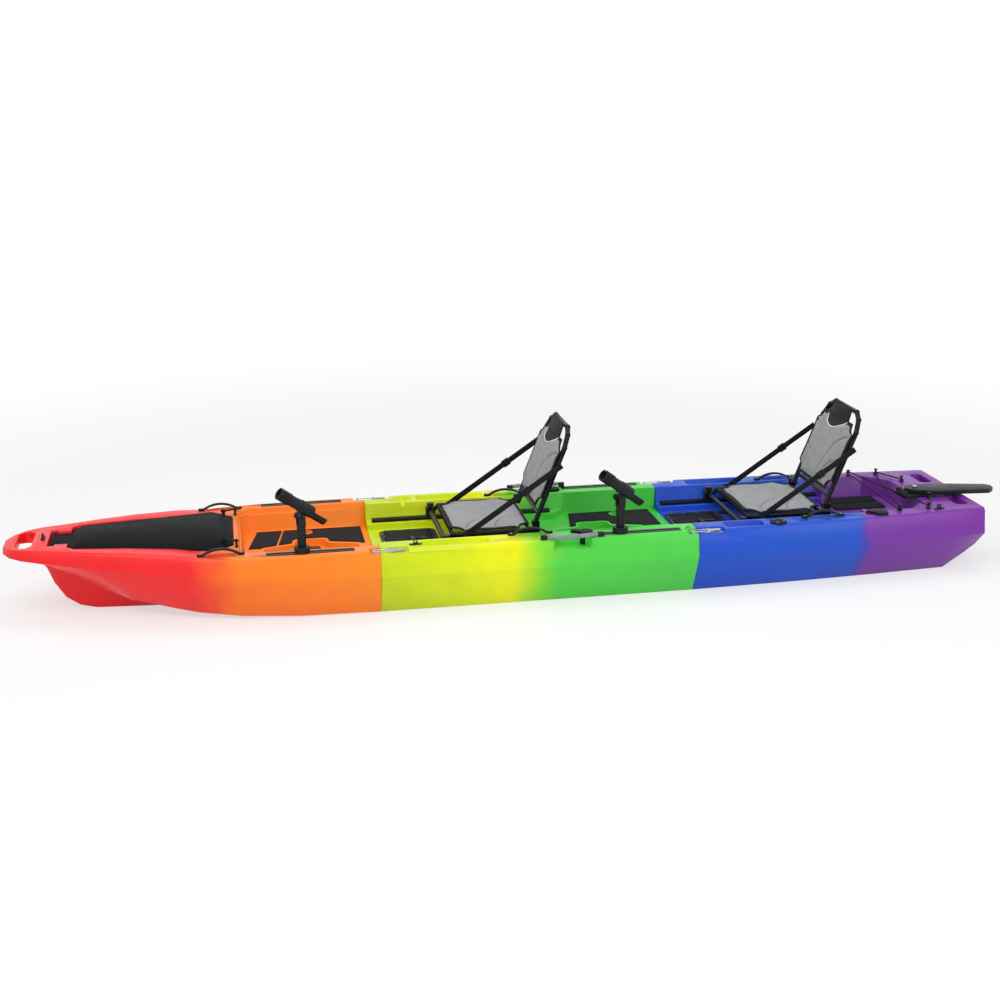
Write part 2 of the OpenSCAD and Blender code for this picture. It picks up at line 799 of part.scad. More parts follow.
// Floor hatches: a screwed frame with hinge ears and pin, a lid and its turn handle
module hatch_frame(x) {
    xf = -hatch_open_len / 2;
    translate([x, 0, 0]) {
        difference() {
            union() {
                prism(
                    eight(-hatch_len / 2, hatch_len / 2, -hatch_w / 2, hatch_w / 2, 24),
                    floor_h, floor_h + hatch_t
                );
                both_sides()
                    translate([xf - hatch_barrel_r, hatch_barrel_half + 1, floor_h])
                        cube([2 * hatch_barrel_r, hatch_ear_w, hatch_pin_z - floor_h + hatch_barrel_r]);
            }
            difference() {
                translate([xf, -hatch_open_w / 2, floor_h + hatch_flange])
                    cube([hatch_open_len, hatch_open_w, 60]);
                both_sides()
                    translate([xf - hatch_barrel_r, hatch_barrel_half + 1, floor_h])
                        cube([2 * hatch_barrel_r, hatch_ear_w, 40]);
            }
            translate([xf + hatch_lip, -hatch_open_w / 2 + hatch_lip, floor_h - over])
                cube([hatch_open_len - 2 * hatch_lip, hatch_open_w - 2 * hatch_lip, 60]);
            translate([xf - 8, -hatch_barrel_half - 1, floor_h + hatch_flange])
                cube([10, 2 * hatch_barrel_half + 2, 60]);
            translate([xf, hatch_w / 2, hatch_pin_z])
                rotate([90, 0, 0])
                    cylinder(r = hatch_pin_r + pin_clear, h = hatch_w);
        }
        translate([xf, hatch_barrel_half + hatch_ear_w - 1, hatch_pin_z])
            rotate([90, 0, 0])
                cylinder(r = hatch_pin_r, h = 2 * (hatch_barrel_half + hatch_ear_w - 1));
    }
}
module hatch_frames() {
    color("black")
        for (x = hatch_x)
            hatch_frame(x);
}
handle_x = hatch_open_len / 2 - 46;
stem_r = 6;
module hatch_lid(x) {
    xf = -hatch_open_len / 2 + lid_play;
    l = hatch_open_len - 2 * lid_play;
    w = hatch_open_w - 2 * lid_play;
    color("dimgray")
        translate([x, 0, 0])
            difference() {
                union() {
                    prism(eight(xf, xf + l, -w / 2, w / 2, 14), hatch_lid_z, hatch_lid_z + hatch_lid_t);
                    translate([xf - lid_play, hatch_barrel_half, hatch_pin_z])
                        rotate([90, 0, 0])
                            cylinder(r = hatch_barrel_r, h = 2 * hatch_barrel_half);
                }
                both_sides()
                    translate([xf - over, hatch_barrel_half + 0.5, 0])
                        cube([hatch_barrel_r + 3, hatch_ear_w + 1, 400]);
                translate([xf - lid_play, hatch_barrel_half + over, hatch_pin_z])
                    rotate([90, 0, 0])
                        cylinder(r = hatch_pin_r + pin_clear, h = 2 * (hatch_barrel_half + over));
                translate([handle_x, 0, 0])
                    cylinder(r = stem_r + pin_clear, h = 400);
            }
}
// Turn handle: a T grip on a stem through the lid, with a tongue that swings under the frame
module hatch_handle(x) {
    tongue_t = 5;
    tongue_reach = handle_tongue;
    z0 = floor_h - wall - tongue_t - 1;
    z1 = hatch_lid_z + hatch_lid_t + seat_clear;
    color("black")
        translate([x + handle_x, 0, 0]) {
            translate([0, 0, z0])
                cylinder(r = stem_r, h = z1 - z0 + 6);
            translate([-7, -10, z0])
                cube([14, 10 + tongue_reach, tongue_t]);
            translate([0, 0, z1])
                difference() {
                    union() {
                        cylinder(r = 13, h = 12);
                        translate([-48, -8, 0])
                            cube([48, 16, 12]);
                        translate([-58, -30, 0])
                            cube([18, 60, 12]);
                    }
                    translate([-18, 0, 12])
                        rotate([0, -90, 0])
                            cylinder(r = 3, h = 26);
                }
        }
}
handle_tongue = 56;

// Draw latches, drawn at the port-to-starboard place of one joint with x from the joint line
lever_x = 45;
lever_z = 9;
throw = 14;
lever_len = 58;
lever_half = 8;
lever_nose = 5.5;
bail_y = 13.5;
wire_r = 2;
hook_x = -28;
hook_t = 5;
latch_pin_r = 2;
module at_latch(i, side) {
    on_side(side)
        translate([joint_x[i], latch_y, gunwale_h - latch_drop])
            children();
}
module latch_bases() {
    ear_t = 2;
    ear_y = lever_half + 0.5;
    plate_t = 2;
    color("silver")
        for (i = [0, 1], side = [-1, 1])
            at_latch(i, side) {
                difference() {
                    union() {
                        translate([lever_x - 14, -11, 0])
                            cube([78, 22, plate_t]);
                        for (s = [0, 1])
                            mirror([0, s, 0])
                                translate([lever_x - 6, ear_y, 0])
                                    cube([12, ear_t, lever_z + 5]);
                    }
                    translate([lever_x, 20, lever_z])
                        rotate([90, 0, 0])
                            cylinder(r = latch_pin_r + pin_clear, h = 40);
                }
                translate([lever_x, ear_y + ear_t, lever_z])
                    rotate([90, 0, 0])
                        cylinder(r = latch_pin_r, h = 2 * (ear_y + ear_t));
                translate([hook_x - 8, -15, 0])
                    cube([24, 30, plate_t]);
                translate([hook_x, -9, 0])
                    cube([hook_t, 18, lever_z + 4]);
            }
}
module latch_lever(i, side) {
    color("silver")
        at_latch(i, side)
            difference() {
                union() {
                    translate([lever_x - lever_nose, -lever_half, lever_z - 4])
                        cube([throw + 8 + lever_nose, 2 * lever_half, 8]);
                    translate([lever_x + throw, -lever_half, lever_z - 1])
                        cube([lever_len - throw - 10, 2 * lever_half, 5]);
                    translate([lever_x + lever_len - 10, 0, lever_z - 1])
                        cylinder(r = lever_half, h = 5);
                }
                translate([lever_x, 20, lever_z])
                    rotate([90, 0, 0])
                        cylinder(r = latch_pin_r + pin_clear, h = 40);
                translate([lever_x + throw, 20, lever_z])
                    rotate([90, 0, 0])
                        cylinder(r = wire_r + pin_clear, h = 40);
            }
}
module latch_bail(i, side) {
    x0 = hook_x - wire_r - seat_clear;
    x1 = lever_x + throw;
    color("silver")
        at_latch(i, side) {
            rod([x0, -bail_y, lever_z], [x0, bail_y, lever_z], wire_r);
            for (s = [-1, 1]) {
                rod([x0, s * bail_y, lever_z], [x1, s * bail_y, lever_z], wire_r);
                rod([x1, s * bail_y, lever_z], [x1, s * 4, lever_z], wire_r);
                for (x = [x0, x1])
                    translate([x, s * bail_y, lever_z])
                        sphere(r = wire_r);
            }
        }
}

// Rod holders: a clamp base in the track, a post that swivels on it and a cradle that tilts
rod_x = [bow_track_x + 145, mid_track_x + 95];
rod_y = -track_y;
deck_top = gunwale_h - track_sink + track_h;
spindle_r = 9;
base_r = 32;
base_t = 24;
post_z = deck_top + seat_clear + base_t;
spindle_h = 46;
post_r = 18;
cheek_t = 8;
lug_w = 20;
cradle_off = cradle_r + 16;
pivot_r = 5;
module at_rod(i) {
    translate([rod_x[i], rod_y, 0])
        rotate([0, 0, 180 + cradle_turn])
            children();
}
module rod_holder_base(i) {
    head_t = 4.5;
    grips = 10;
    color("black")
        translate([rod_x[i], rod_y, 0]) {
            translate([-16, -track_w / 2 + 4, gunwale_h - track_sink + 2.5])
                cube([32, track_w - 8, head_t]);
            translate([-14, -track_slot / 2 + 1, gunwale_h - track_sink + 3])
                cube([28, track_slot - 2, track_h]);
            difference() {
                translate([0, 0, deck_top + seat_clear])
                    cylinder(r = base_r, h = base_t);
                for (k = [0:grips - 1])
                    rotate([0, 0, k * 360 / grips])
                        translate([base_r + 3, 0, deck_top])
                            cylinder(r = 6, h = base_t + 4);
            }
            translate([0, 0, post_z - 2])
                cylinder(r = spindle_r, h = spindle_h + 2);
        }
}
module rod_holder_post(i) {
    pz = gunwale_h + rod_pivot_h;
    color("black")
        at_rod(i)
            difference() {
                union() {
                    translate([0, 0, post_z + seat_clear])
                        cylinder(r = post_r, h = pz - post_z - 34);
                    translate([-14, -lug_w / 2 - cheek_t, pz - 38])
                        cube([28, lug_w + 2 * cheek_t, 14]);
                    for (s = [-1, 1])
                        translate([0, s * (lug_w / 2 + cheek_t / 2), 0])
                            rotate([90, 0, 0])
                                translate([0, 0, -cheek_t / 2]) {
                                    translate([0, pz, 0])
                                        cylinder(r = 14, h = cheek_t);
                                    translate([-14, pz - 30, 0])
                                        cube([28, 30, cheek_t]);
                                }
                }
                translate([0, 0, post_z - over])
                    cylinder(r = spindle_r + pin_clear, h = spindle_h + 1.5);
                translate([0, 40, pz])
                    rotate([90, 0, 0])
                        cylinder(r = pivot_r + pin_clear, h = 80);
            }
}
// Cradle: a tube with a slot for the reel's foot, on a lug with its own pivot bolt
module rod_holder_cradle(i) {
    pz = gunwale_h + rod_pivot_h;
    bore_r = cradle_r - 4.5;
    slot_w = 14;
    slot_len = 90;
    tail = cradle_len * 0.42;
    knob_r = 15;
    rib = 3;
    rib_pitch = 11;
    fork_x = -34;
    color("black")
        at_rod(i)
            translate([0, 0, pz]) {
                rotate([0, -cradle_tilt, 0])
                    difference() {
                        union() {
                            translate([-tail, 0, cradle_off])
                                rotate([0, 90, 0])
                                    cylinder(r = cradle_r, h = cradle_len);
                            for (k = [0:4])
                                translate([cradle_len - tail - 8 - k * rib_pitch, 0, cradle_off])
                                    rotate([0, 90, 0])
                                        cylinder(r = cradle_r + rib, h = 6);
                            translate([-30, 0, cradle_off])
                                rotate([0, 90, 0])
                                    cylinder(r = cradle_r + rib, h = 60);
                            translate([-12, -lug_w / 2 + 0.5, 0])
                                cube([24, lug_w - 1, cradle_off]);
                            rotate([90, 0, 0])
                                translate([0, 0, -lug_w / 2 + 0.5])
                                    cylinder(r = 12, h = lug_w - 1);
                        }
                        translate([-tail - over, 0, cradle_off])
                            rotate([0, 90, 0])
                                cylinder(r = bore_r, h = cradle_len + 2 * over);
                        translate([cradle_len - tail - slot_len, -slot_w / 2, cradle_off])
                            cube([slot_len + over, slot_w, cradle_r + rib + over]);
                        translate([-tail - over, -cradle_r - rib, cradle_off + 5])
                            cube([tail + over + fork_x, 2 * (cradle_r + rib), cradle_r + rib]);
                    }
                rotate([90, 0, 0]) {
                    translate([0, 0, -lug_w / 2 - cheek_t - 2])
                        cylinder(r = pivot_r, h = lug_w + 2 * cheek_t + 8);
                    translate([0, 0, lug_w / 2 + cheek_t + 1])
                        cylinder(r = knob_r, h = 16);
                }
            }
}

// Flush rod tubes let into the side decks, and the caps that swing over their mouths
flush_wall = 3.5;
cap_t = 7;
cap_r = 31;
cap_pivot = [-44, -22];
cap_pivot_r = 5;
module flush_rod_tubes() {
    color("black")
        for (i = [0, 1])
            both_sides()
                translate([flush_x[i], flush_y[i], gunwale_h])
                    difference() {
                        union() {
                            cylinder(r = flush_flange, h = flush_flange_t);
                            translate([0, 0, -flush_len])
                                cylinder(r = flush_r, h = flush_len + over);
                            translate([cap_pivot[0], cap_pivot[1], 0])
                                cylinder(r = 17, h = flush_flange_t);
                            translate([cap_pivot[0], cap_pivot[1], 0])
                                cylinder(r = cap_pivot_r, h = flush_flange_t + cap_t + 2);
                        }
                        translate([0, 0, -flush_len + flush_wall])
                            cylinder(r = flush_r - flush_wall, h = flush_len + 20);
                    }
}
module flush_cap(i, side) {
    d = norm(cap_pivot);
    color("black")
        on_side(side)
            translate([flush_x[i], flush_y[i], gunwale_h + flush_flange_t + seat_clear])
                difference() {
                    union() {
                        cylinder(r = cap_r, h = cap_t);
                        translate([cap_pivot[0], cap_pivot[1], 0])
                            cylinder(r = 13, h = cap_t);
                        rotate([0, 0, atan2(cap_pivot[1], cap_pivot[0])])
                            translate([0, -13, 0])
                                cube([d, 26, cap_t]);
                    }
                    translate([cap_pivot[0], cap_pivot[1], -over])
                        cylinder(r = cap_pivot_r + pin_clear, h = cap_t + 2 * over);
                }
}

// Side carry handles: brackets on the side decks and a bowed grip that swings up from the scoop
grip_r = 9;
grip_bow = 20;
bracket_l = 26;
grip_pin_r = 4;
module handle_brackets() {
    color("black")
        both_sides()
            for (s = [-1, 1])
                translate([grip_x + s * (grip_span / 2 + bracket_l / 2 + 1), grip_y, gunwale_h])
                    difference() {
                        union() {
                            translate([-bracket_l / 2, -13, 0])
                                cube([bracket_l, 22, 5]);
                            translate([-bracket_l / 2, -8, 0])
                                cube([bracket_l, 16, grip_h + 7]);
                        }
                        translate([-bracket_l, 0, grip_h])
                            rotate([0, 90, 0])
                                cylinder(r = grip_pin_r + pin_clear, h = 2 * bracket_l);
                    }
}
module side_handle(side) {
    r = (grip_span * grip_span / 4 + grip_bow * grip_bow) / (2 * grip_bow);
    a = asin(grip_span / 2 / (r + grip_r));
    color("gray")
        on_side(side)
            translate([grip_x, grip_y, gunwale_h + grip_h]) {
                translate([0, grip_bow - r, 0])
                    rotate([0, 0, 90 - a])
                        rotate_extrude(angle = 2 * a)
                            translate([r, 0])
                                circle(r = grip_r, $fn = 24);
                for (s = [-1, 1])
                    rod(
                        [s * (grip_span / 2 - 12), 0, 0],
                        [s * (grip_span / 2 + bracket_l - 4), 0, 0], grip_pin_r
                    );
            }
}

// Strap handles: an arched strap between two screwed feet
module strap_handles() {
    r = (strap_span * strap_span / 4 + strap_rise * strap_rise) / (2 * strap_rise);
    a = asin(strap_span / 2 / r);
    color("black")
        for (p = strap_places)
            both_sides()
                translate([p[0], p[1], gunwale_h]) {
                    difference() {
                        translate([0, strap_w / 2, strap_rise - r])
                            rotate([90, -90, 0])
                                rotate([0, 0, -a - 4])
                                    rotate_extrude_flat(r, 2 * a + 8);
                        translate([-strap_span, -strap_span, -2 * strap_rise])
                            cube([2 * strap_span, 2 * strap_span, 2 * strap_rise]);
                    }
                    for (s = [-1, 1])
                        translate([s * strap_span / 2, 0, 0])
                            cylinder(r = strap_foot_r, h = strap_t + 2);
                }
}
// Flat strip bent round the Z axis at radius r, over an angle
module rotate_extrude_flat(r, angle) {
    rotate_extrude(angle = angle)
        translate([r - strap_t, 0])
            square([strap_t, strap_w]);
}

// Lashing eyes on the decks, as [x, y, turn]
eye_r = 5;
eye_places = [
    [x_bow + 158, 0, 90], [x_front_joint + 150, -(half - 74), 0],
    [x_stern - 205, -(half - 118), 10]
];
hook_places = [
    [x_stern - 382, tank_half + 36], [x_stern - 247, tank_half + 30], [x_stern - 180, 150],
    [x_stern - 180, -150], [x_stern - 247, -tank_half - 30], [x_stern - 382, -tank_half - 36]
];
hook_post_r = 5;
hook_post_h = 28;
function eye_z(p) = gunwale_h + (p[0] < x_lid_front ? 15 : 0);
module lashing_eyes() {
    lug_t = 8;
    color("black") {
        for (p = eye_places)
            translate([p[0], p[1], eye_z(p)])
                rotate([0, 0, p[2]])
                    difference() {
                        union() {
                            translate([-18, -9, 0])
                                cube([36, 18, 4]);
                            for (s = [-1, 1])
                                translate([s * 18, 0, 0])
                                    cylinder(r = 9, h = 4);
                            translate([-9, -lug_t / 2, 0])
                                cube([18, lug_t, 14]);
                            translate([0, lug_t / 2, 14])
                                rotate([90, 0, 0])
                                    cylinder(r = 9, h = lug_t);
                        }
                        translate([0, lug_t, 14])
                            rotate([90, 0, 0])
                                cylinder(r = eye_r, h = 2 * lug_t);
                    }
        for (p = hook_places)
            translate([p[0], p[1], gunwale_h]) {
                cylinder(r = 12, h = 4);
                cylinder(r = hook_post_r, h = hook_post_h);
                translate([0, 0, hook_post_h - 4])
                    cylinder(r = 9, h = 4);
            }
        both_sides()
            translate([band_deck[0], band_deck[1], gunwale_h]) {
                cylinder(r = band_stud_r, h = band_z + band_t + 3 - gunwale_h);
                cylinder(r = 8, h = 3);
            }
    }
}

// Elastic cord laced between the hooks, passing each on its outer side. It crosses itself over the
// tank well, where one run is lifted clear of the other.
cord_z = gunwale_h + 9;
cross_lift = bungee_d + 1.5;
wrap = hook_post_r + bungee_d / 2 + 0.2;
function about(p, a, dz) = [p[0] + wrap * cos(a), p[1] + wrap * sin(a), cord_z + dz];
lacing = concat(
    [for (a = [-90, -45, 0, 45]) about(hook_places[2], a, 0)],
    [for (a = [20, 62, 105, 148]) about(hook_places[1], a, 0)],
    [for (a = [-10, -58, -106, -155]) about(hook_places[5], a, 0)],
    [for (a = [170, 122, 74, 25]) about(hook_places[0], a, cross_lift)],
    [for (a = [208, 252, 296, 340]) about(hook_places[4], a, cross_lift)],
    [for (a = [-45, 0, 45, 90]) about(hook_places[3], a, cross_lift)]
);
module bungee() {
    color("black")
        sweep(lacing, bungee_d / 2, 8);
}
// Round cord along a path of points, with level rings at each point
module sweep(path, r, sides) {
    n = len(path);
    function unit(v) = v / norm(v);
    function along(i) = unit(path[min(i + 1, n - 1)] - path[max(i - 1, 0)]);
    skin([
        for (i = [0:n - 1])
            let (t = along(i), s = unit(cross(t, [0, 0, 1])), u = cross(s, t))
                [
                    for (k = [0:sides - 1])
                        let (a = k * 360 / sides)
                            path[i] + r * (cos(a) * s + sin(a) * u)
                ]
    ]);
}

// Plugs in the stern scuppers, and the round cover of the port beside the rear seat
module deck_plugs() {
    color("black") {
        for (p = plug_places)
            translate([p[0], p[1], floor_h]) {
                cylinder(r = scupper_r + 8, h = 5);
                translate([0, 0, -30])
                    cylinder(r = scupper_r - seat_clear, h = 30 + over);
            }
        translate([port_x, -port_y, gunwale_h]) {
            cylinder(r = port_r + 9, h = 6);
            translate([0, 0, -14])
                cylinder(r = port_r, h = 14 + over);
        }
    }
}

// Rudder, stowed on the stern deck: a ribbed bracket with a pin, and the blade that turns on it
rudder_at = [x_stern - 212, -66];
rudder_turn = -10;
bracket_w = 120;
bracket_h = 12;
rudder_pin_r = 6;
blade_t = 18;
blade_z = gunwale_h + bracket_h + 2;
blade_root = 44;
module at_rudder() {
    translate([rudder_at[0], rudder_at[1], 0])
        children();
}
module rudder_bracket() {
    l = 118;
    color("black")
        at_rudder()
            difference() {
                union() {
                    prism(
                        eight(-l + 40, 40, -bracket_w / 2, bracket_w / 2, 10), gunwale_h,
                        gunwale_h + bracket_h
                    );
                    for (k = [-1:1])
                        translate([-l + 46, k * 34 - 4, gunwale_h])
                            cube([l - 46 - blade_root - 2, 8, bracket_h + 14]);
                }
                translate([0, 0, gunwale_h - over])
                    cylinder(r = rudder_pin_r + pin_clear, h = 60);
            }
}
module rudder_pin() {
    color("silver")
        at_rudder() {
            translate([0, 0, gunwale_h + 1])
                cylinder(r = rudder_pin_r, h = bracket_h + blade_t + 9);
            translate([0, 0, blade_z + blade_t + 1])
                cylinder(r = rudder_pin_r + 5, h = 6);
        }
}
module rudder_blade() {
    tip_r = 26;
    outline = [
        [0, -blade_root], [80, -blade_w / 2], [blade_len - tip_r, -blade_w * 0.36],
        [blade_len, -blade_w * 0.1], [blade_len, blade_w * 0.2], [blade_len - tip_r, blade_w * 0.36],
        [90, blade_w / 2], [0, blade_root]
    ];
    color("darkslategray")
        at_rudder()
            rotate([0, 0, rudder_turn])
                difference() {
                    union() {
                        prism(outline, blade_z, blade_z + blade_t);
                        translate([0, 0, blade_z])
                            cylinder(r = blade_root, h = blade_t);
                    }
                    translate([0, 0, blade_z - over])
                        cylinder(r = rudder_pin_r + pin_clear, h = blade_t + 2 * over);
                }
}
module rudder_inserts() {
    color("gold")
        for (i = [-1, 1], j = [-1, 1])
            translate([insert_x + i * insert_dx / 2, j * insert_dy / 2, gunwale_h - insert_len])
                difference() {
                    cylinder(r = insert_r, h = insert_len + 1);
                    translate([0, 0, 3])
                        cylinder(r = insert_bore_r, h = insert_len);
                }
}

// Heads of the screws that hold the fittings
screw_r = 4;
screw_h = 2;
module screw(p) {
    translate(p)
        cylinder(r = screw_r, h = screw_h, $fn = 24);
}
module deck_screws() {
    color("silver") {
        for (p = strap_places, s = [-1, 1], side = [-1, 1])
            screw([p[0] + s * strap_span / 2, side * p[1], gunwale_h + strap_t + 2]);
        for (x = hatch_x) {
            for (k = [0:3], side = [-1, 1])
                screw([x + (k - 1.5) * (hatch_len - 70) / 3, side * (hatch_w / 2 - 8), floor_h + hatch_t]);
            for (k = [0:2], s = [-1, 1])
                screw([x + s * (hatch_len / 2 - 8), (k - 1) * (hatch_w - 120) / 2, floor_h + hatch_t]);
        }
        for (x = well_x, s = [-1, 1], side = [-1, 1]) {
            screw([x + s * 13, side * (lobe_reach - 20), channel_z + frame_t]);
            screw([x + s * (well_half_len + 10), 0, channel_z + frame_t]);
        }
        for (k = [0:2])
            rotate_about([port_x, -port_y], k * 120)
                screw([port_x + port_r - 4, -port_y, gunwale_h + 6]);
    }
}
module rotate_about(p, a) {
    translate([p[0], p[1], 0])
        rotate([0, 0, a])
            translate([-p[0], -p[1], 0])
                children();
}

// Seats. Each is drawn about its back hinge, at x = 0 there.
seat_xs = [x_front_joint + front_hinge_x, x_front_joint + front_hinge_x + seat_pitch];
side_z = hinge_h - 22;
bar_z = rail_top + 24;
foot_x = -95;
front_bar = -seat_len + 34;
rear_bar = -26;
// Branch tubes are thinner than the tubes that they meet, and bends have a knuckle
thin = 0.82;
knuckle = 1.5;
back_half = seat_half - 32;
ear_y0 = back_half + seat_tube_r + 3;
bolt_r = 4;
clamp_l = 40;
clamp_top = bar_z + seat_tube_r + 4;
strap_front_x = -310;
strap_up = 276;
strap_y = seat_half + seat_tube_r + 7;
strap_pin_r = 4;
module at_seat(i) {
    translate([seat_xs[i], 0, 0])
        children();
}
module at_back(i) {
    at_seat(i)
        translate([0, 0, hinge_h])
            rotate([0, back_lean, 0])
                children();
}
module seat_base(i) {
    r = seat_tube_r;
    color("black")
        at_seat(i) {
            rod([-seat_len, -rail_y - 10, bar_z], [-seat_len, rail_y + 10, bar_z], r);
            rod([front_bar, -seat_half, side_z], [front_bar, seat_half, side_z], r * thin);
            rod([rear_bar, -seat_half, side_z], [rear_bar, seat_half, side_z], r * thin);
            both_sides() {
                rod([-seat_len, seat_half, bar_z], [front_bar, seat_half, side_z], r * thin);
                rod([front_bar, seat_half, side_z], [14, seat_half, side_z], r);
                translate([front_bar, seat_half, side_z])
                    sphere(r = r + knuckle);
                rod([foot_x, seat_half, side_z], [foot_x, rail_y, rail_top + 12], r * thin);
                difference() {
                    translate([-15, ear_y0, side_z])
                        cube([30, seat_half - ear_y0, hinge_h - side_z + 14]);
                    translate([0, seat_half + over, hinge_h])
                        rotate([90, 0, 0])
                            cylinder(r = bolt_r + pin_clear, h = 60);
                }
                rod([strap_front_x, seat_half, side_z], [strap_front_x, strap_y + 6, side_z], strap_pin_r);
            }
        }
}
// Rail clamps with knobs, rear feet and the bolts of the back hinge
module seat_hardware(i) {
    key_w = rail_slot - 2;
    color("black")
        at_seat(i)
            both_sides() {
                difference() {
                    union() {
                        translate([-seat_len - clamp_l / 2, rail_y - 15, rail_top + seat_clear])
                            cube([clamp_l, 30, clamp_top - rail_top]);
                        rail_key(-seat_len, key_w);
                        translate([-seat_len, rail_y, clamp_top])
                            cylinder(r = 5, h = 8);
                        translate([-seat_len, rail_y, clamp_top + 6])
                            cylinder(r = 15, h = 13);
                    }
                    translate([-seat_len, rail_y + 60, bar_z])
                        rotate([90, 0, 0])
                            cylinder(r = seat_tube_r + pin_clear, h = 120);
                    rod(
                        [-seat_len, seat_half, bar_z], [front_bar, seat_half, side_z],
                        seat_tube_r * thin + pin_clear
                    );
                }
                difference() {
                    union() {
                        translate([foot_x - 20, rail_y - 15, rail_top + seat_clear])
                            cube([40, 30, 12]);
                        rail_key(foot_x, key_w);
                    }
                    rod(
                        [foot_x, seat_half, side_z], [foot_x, rail_y, rail_top + 12],
                        seat_tube_r * thin + pin_clear
                    );
                    translate([foot_x, rail_y, rail_top + 12])
                        sphere(r = seat_tube_r * thin + pin_clear + 2);
                }
                translate([0, ear_y0 + 8, hinge_h])
                    rotate([90, 0, 0])
                        cylinder(r = bolt_r, h = ear_y0 + 14 - back_half + seat_tube_r);
                translate([0, back_half - seat_tube_r - 1 - seat_clear, hinge_h])
                    rotate([90, 0, 0])
                        cylinder(r = 8, h = 4);
            }
}
module rail_key(x, w) {
    translate([x - 16, rail_y - w / 2, ledge_h + 6])
        cube([32, w, rail_top - ledge_h - 5]);
    translate([x - 16, rail_y - rail_w / 2 + 4, ledge_h + 3])
        cube([32, rail_w - 8, 6]);
}
module seat_back(i) {
    r = seat_tube_r;
    shoulder = back_len - 80;
    top_half = back_half - 74;
    bend = [back_half - 28, back_len - 26];
    color("black")
        at_back(i) {
            both_sides() {
                difference() {
                    union() {
                        translate([0, back_half + r + 1, 0])
                            rotate([90, 0, 0])
                                cylinder(r = 14, h = 2 * r + 2);
                        rod([0, back_half, 0], [0, back_half, shoulder], r);
                    }
                    translate([0, back_half + 40, 0])
                        rotate([90, 0, 0])
                            cylinder(r = bolt_r + pin_clear, h = 80);
                }
                translate([0, back_half, shoulder])
                    sphere(r = r + knuckle);
                rod([0, back_half, shoulder], [0, bend[0], bend[1]], r);
                translate([0, bend[0], bend[1]])
                    sphere(r = r + knuckle);
                rod([0, bend[0], bend[1]], [0, top_half, back_len], r);
                translate([0, top_half, back_len])
                    sphere(r = r + knuckle);
                rod([0, back_half, strap_up], [0, strap_y + 6, strap_up], strap_pin_r);
            }
            rod([0, -top_half, back_len], [0, top_half, back_len], r);
            rod([0, -back_half, 46], [0, back_half, 46], r * thin);
        }
}

// Padded mesh panel lying in the XY plane: length l along X, half width w, quarter round cut-outs
// at its start and end corners, sides drawn in, a crown, and two stitched arcs on each side.
// The arcs are ellipses round the middle of the end edge's corners.
pad_rows = 24;
pad_cols = 16;
draw_in = 6;
function notch(t, r) = t < r ? sqrt(r * r - t * t) : 0;
function pad_half(t, l, w, r0, r1) = w - notch(t, r0) - notch(l - t, r1) - draw_in * sin(180 * t / l);
function arc_dip(t, y, l, w, rx, ry) =
    let (e = abs(norm([(l - t) / rx, (w - abs(y)) / ry]) - 1) * ry / 9)
        e < 1 ? stitch_depth * (1 - e) : 0;
function pad_top(t, y, l, w, h) =
    let (c = min(1, abs(y) / h), ends = min(1, min(t, l - t) / 50))
        seat_pad_edge + seat_pad_crown * (1 - pow(c, 2.6)) * sqrt(ends)
        - ends * max(arc_dip(t, y, l, w, l * 0.82, w * 0.84), arc_dip(t, y, l, w, l * 0.45, w * 0.7));
module padded_panel(l, w, r0, r1) {
    slab([
        for (i = [0:pad_rows])
            let (t = l * i / pad_rows, h = pad_half(t, l, w, r0, r1))
                [
                    for (j = [0:pad_cols])
                        let (y = h * (2 * j / pad_cols - 1))
                            [t, y, pad_top(t, y, l, w, h)]
                ]
    ]);
}
// Solid between a grid of points and its shadow on the plane z = 0
module slab(grid) {
    m = len(grid) - 1;
    n = len(grid[0]) - 1;
    low = (m + 1) * (n + 1);
    function at(i, j) = i * (n + 1) + j;
    function strip(a, b) = [[a, b + low, b], [a, a + low, b + low]];
    polyhedron(
        points = concat(
            [for (r = grid) each r], [for (r = grid) each [for (p = r) [p[0], p[1], 0]]]
        ),
        faces = concat(
            [
                for (i = [0:m - 1]) for (j = [0:n - 1])
                    each [
                        [at(i, j), at(i, j + 1), at(i + 1, j + 1)],
                        [at(i, j), at(i + 1, j + 1), at(i + 1, j)],
                        [at(i + 1, j + 1) + low, at(i, j + 1) + low, at(i, j) + low],
                        [at(i + 1, j) + low, at(i + 1, j + 1) + low, at(i, j) + low]
                    ]
            ],
            [for (i = [0:m - 1]) each concat(strip(at(i + 1, 0), at(i, 0)), strip(at(i, n), at(i + 1, n)))],
            [for (j = [0:n - 1]) each concat(strip(at(0, j), at(0, j + 1)), strip(at(m, j + 1), at(m, j)))]
        )
    );
}
pan_start = -seat_len + 30;
pan_end = -24;
module seat_pan_pad(i) {
    color("gray")
        at_seat(i)
            translate([pan_start, 0, side_z + seat_tube_r + seat_clear])
                padded_panel(pan_end - pan_start, seat_half + 3, 56, 50);
}
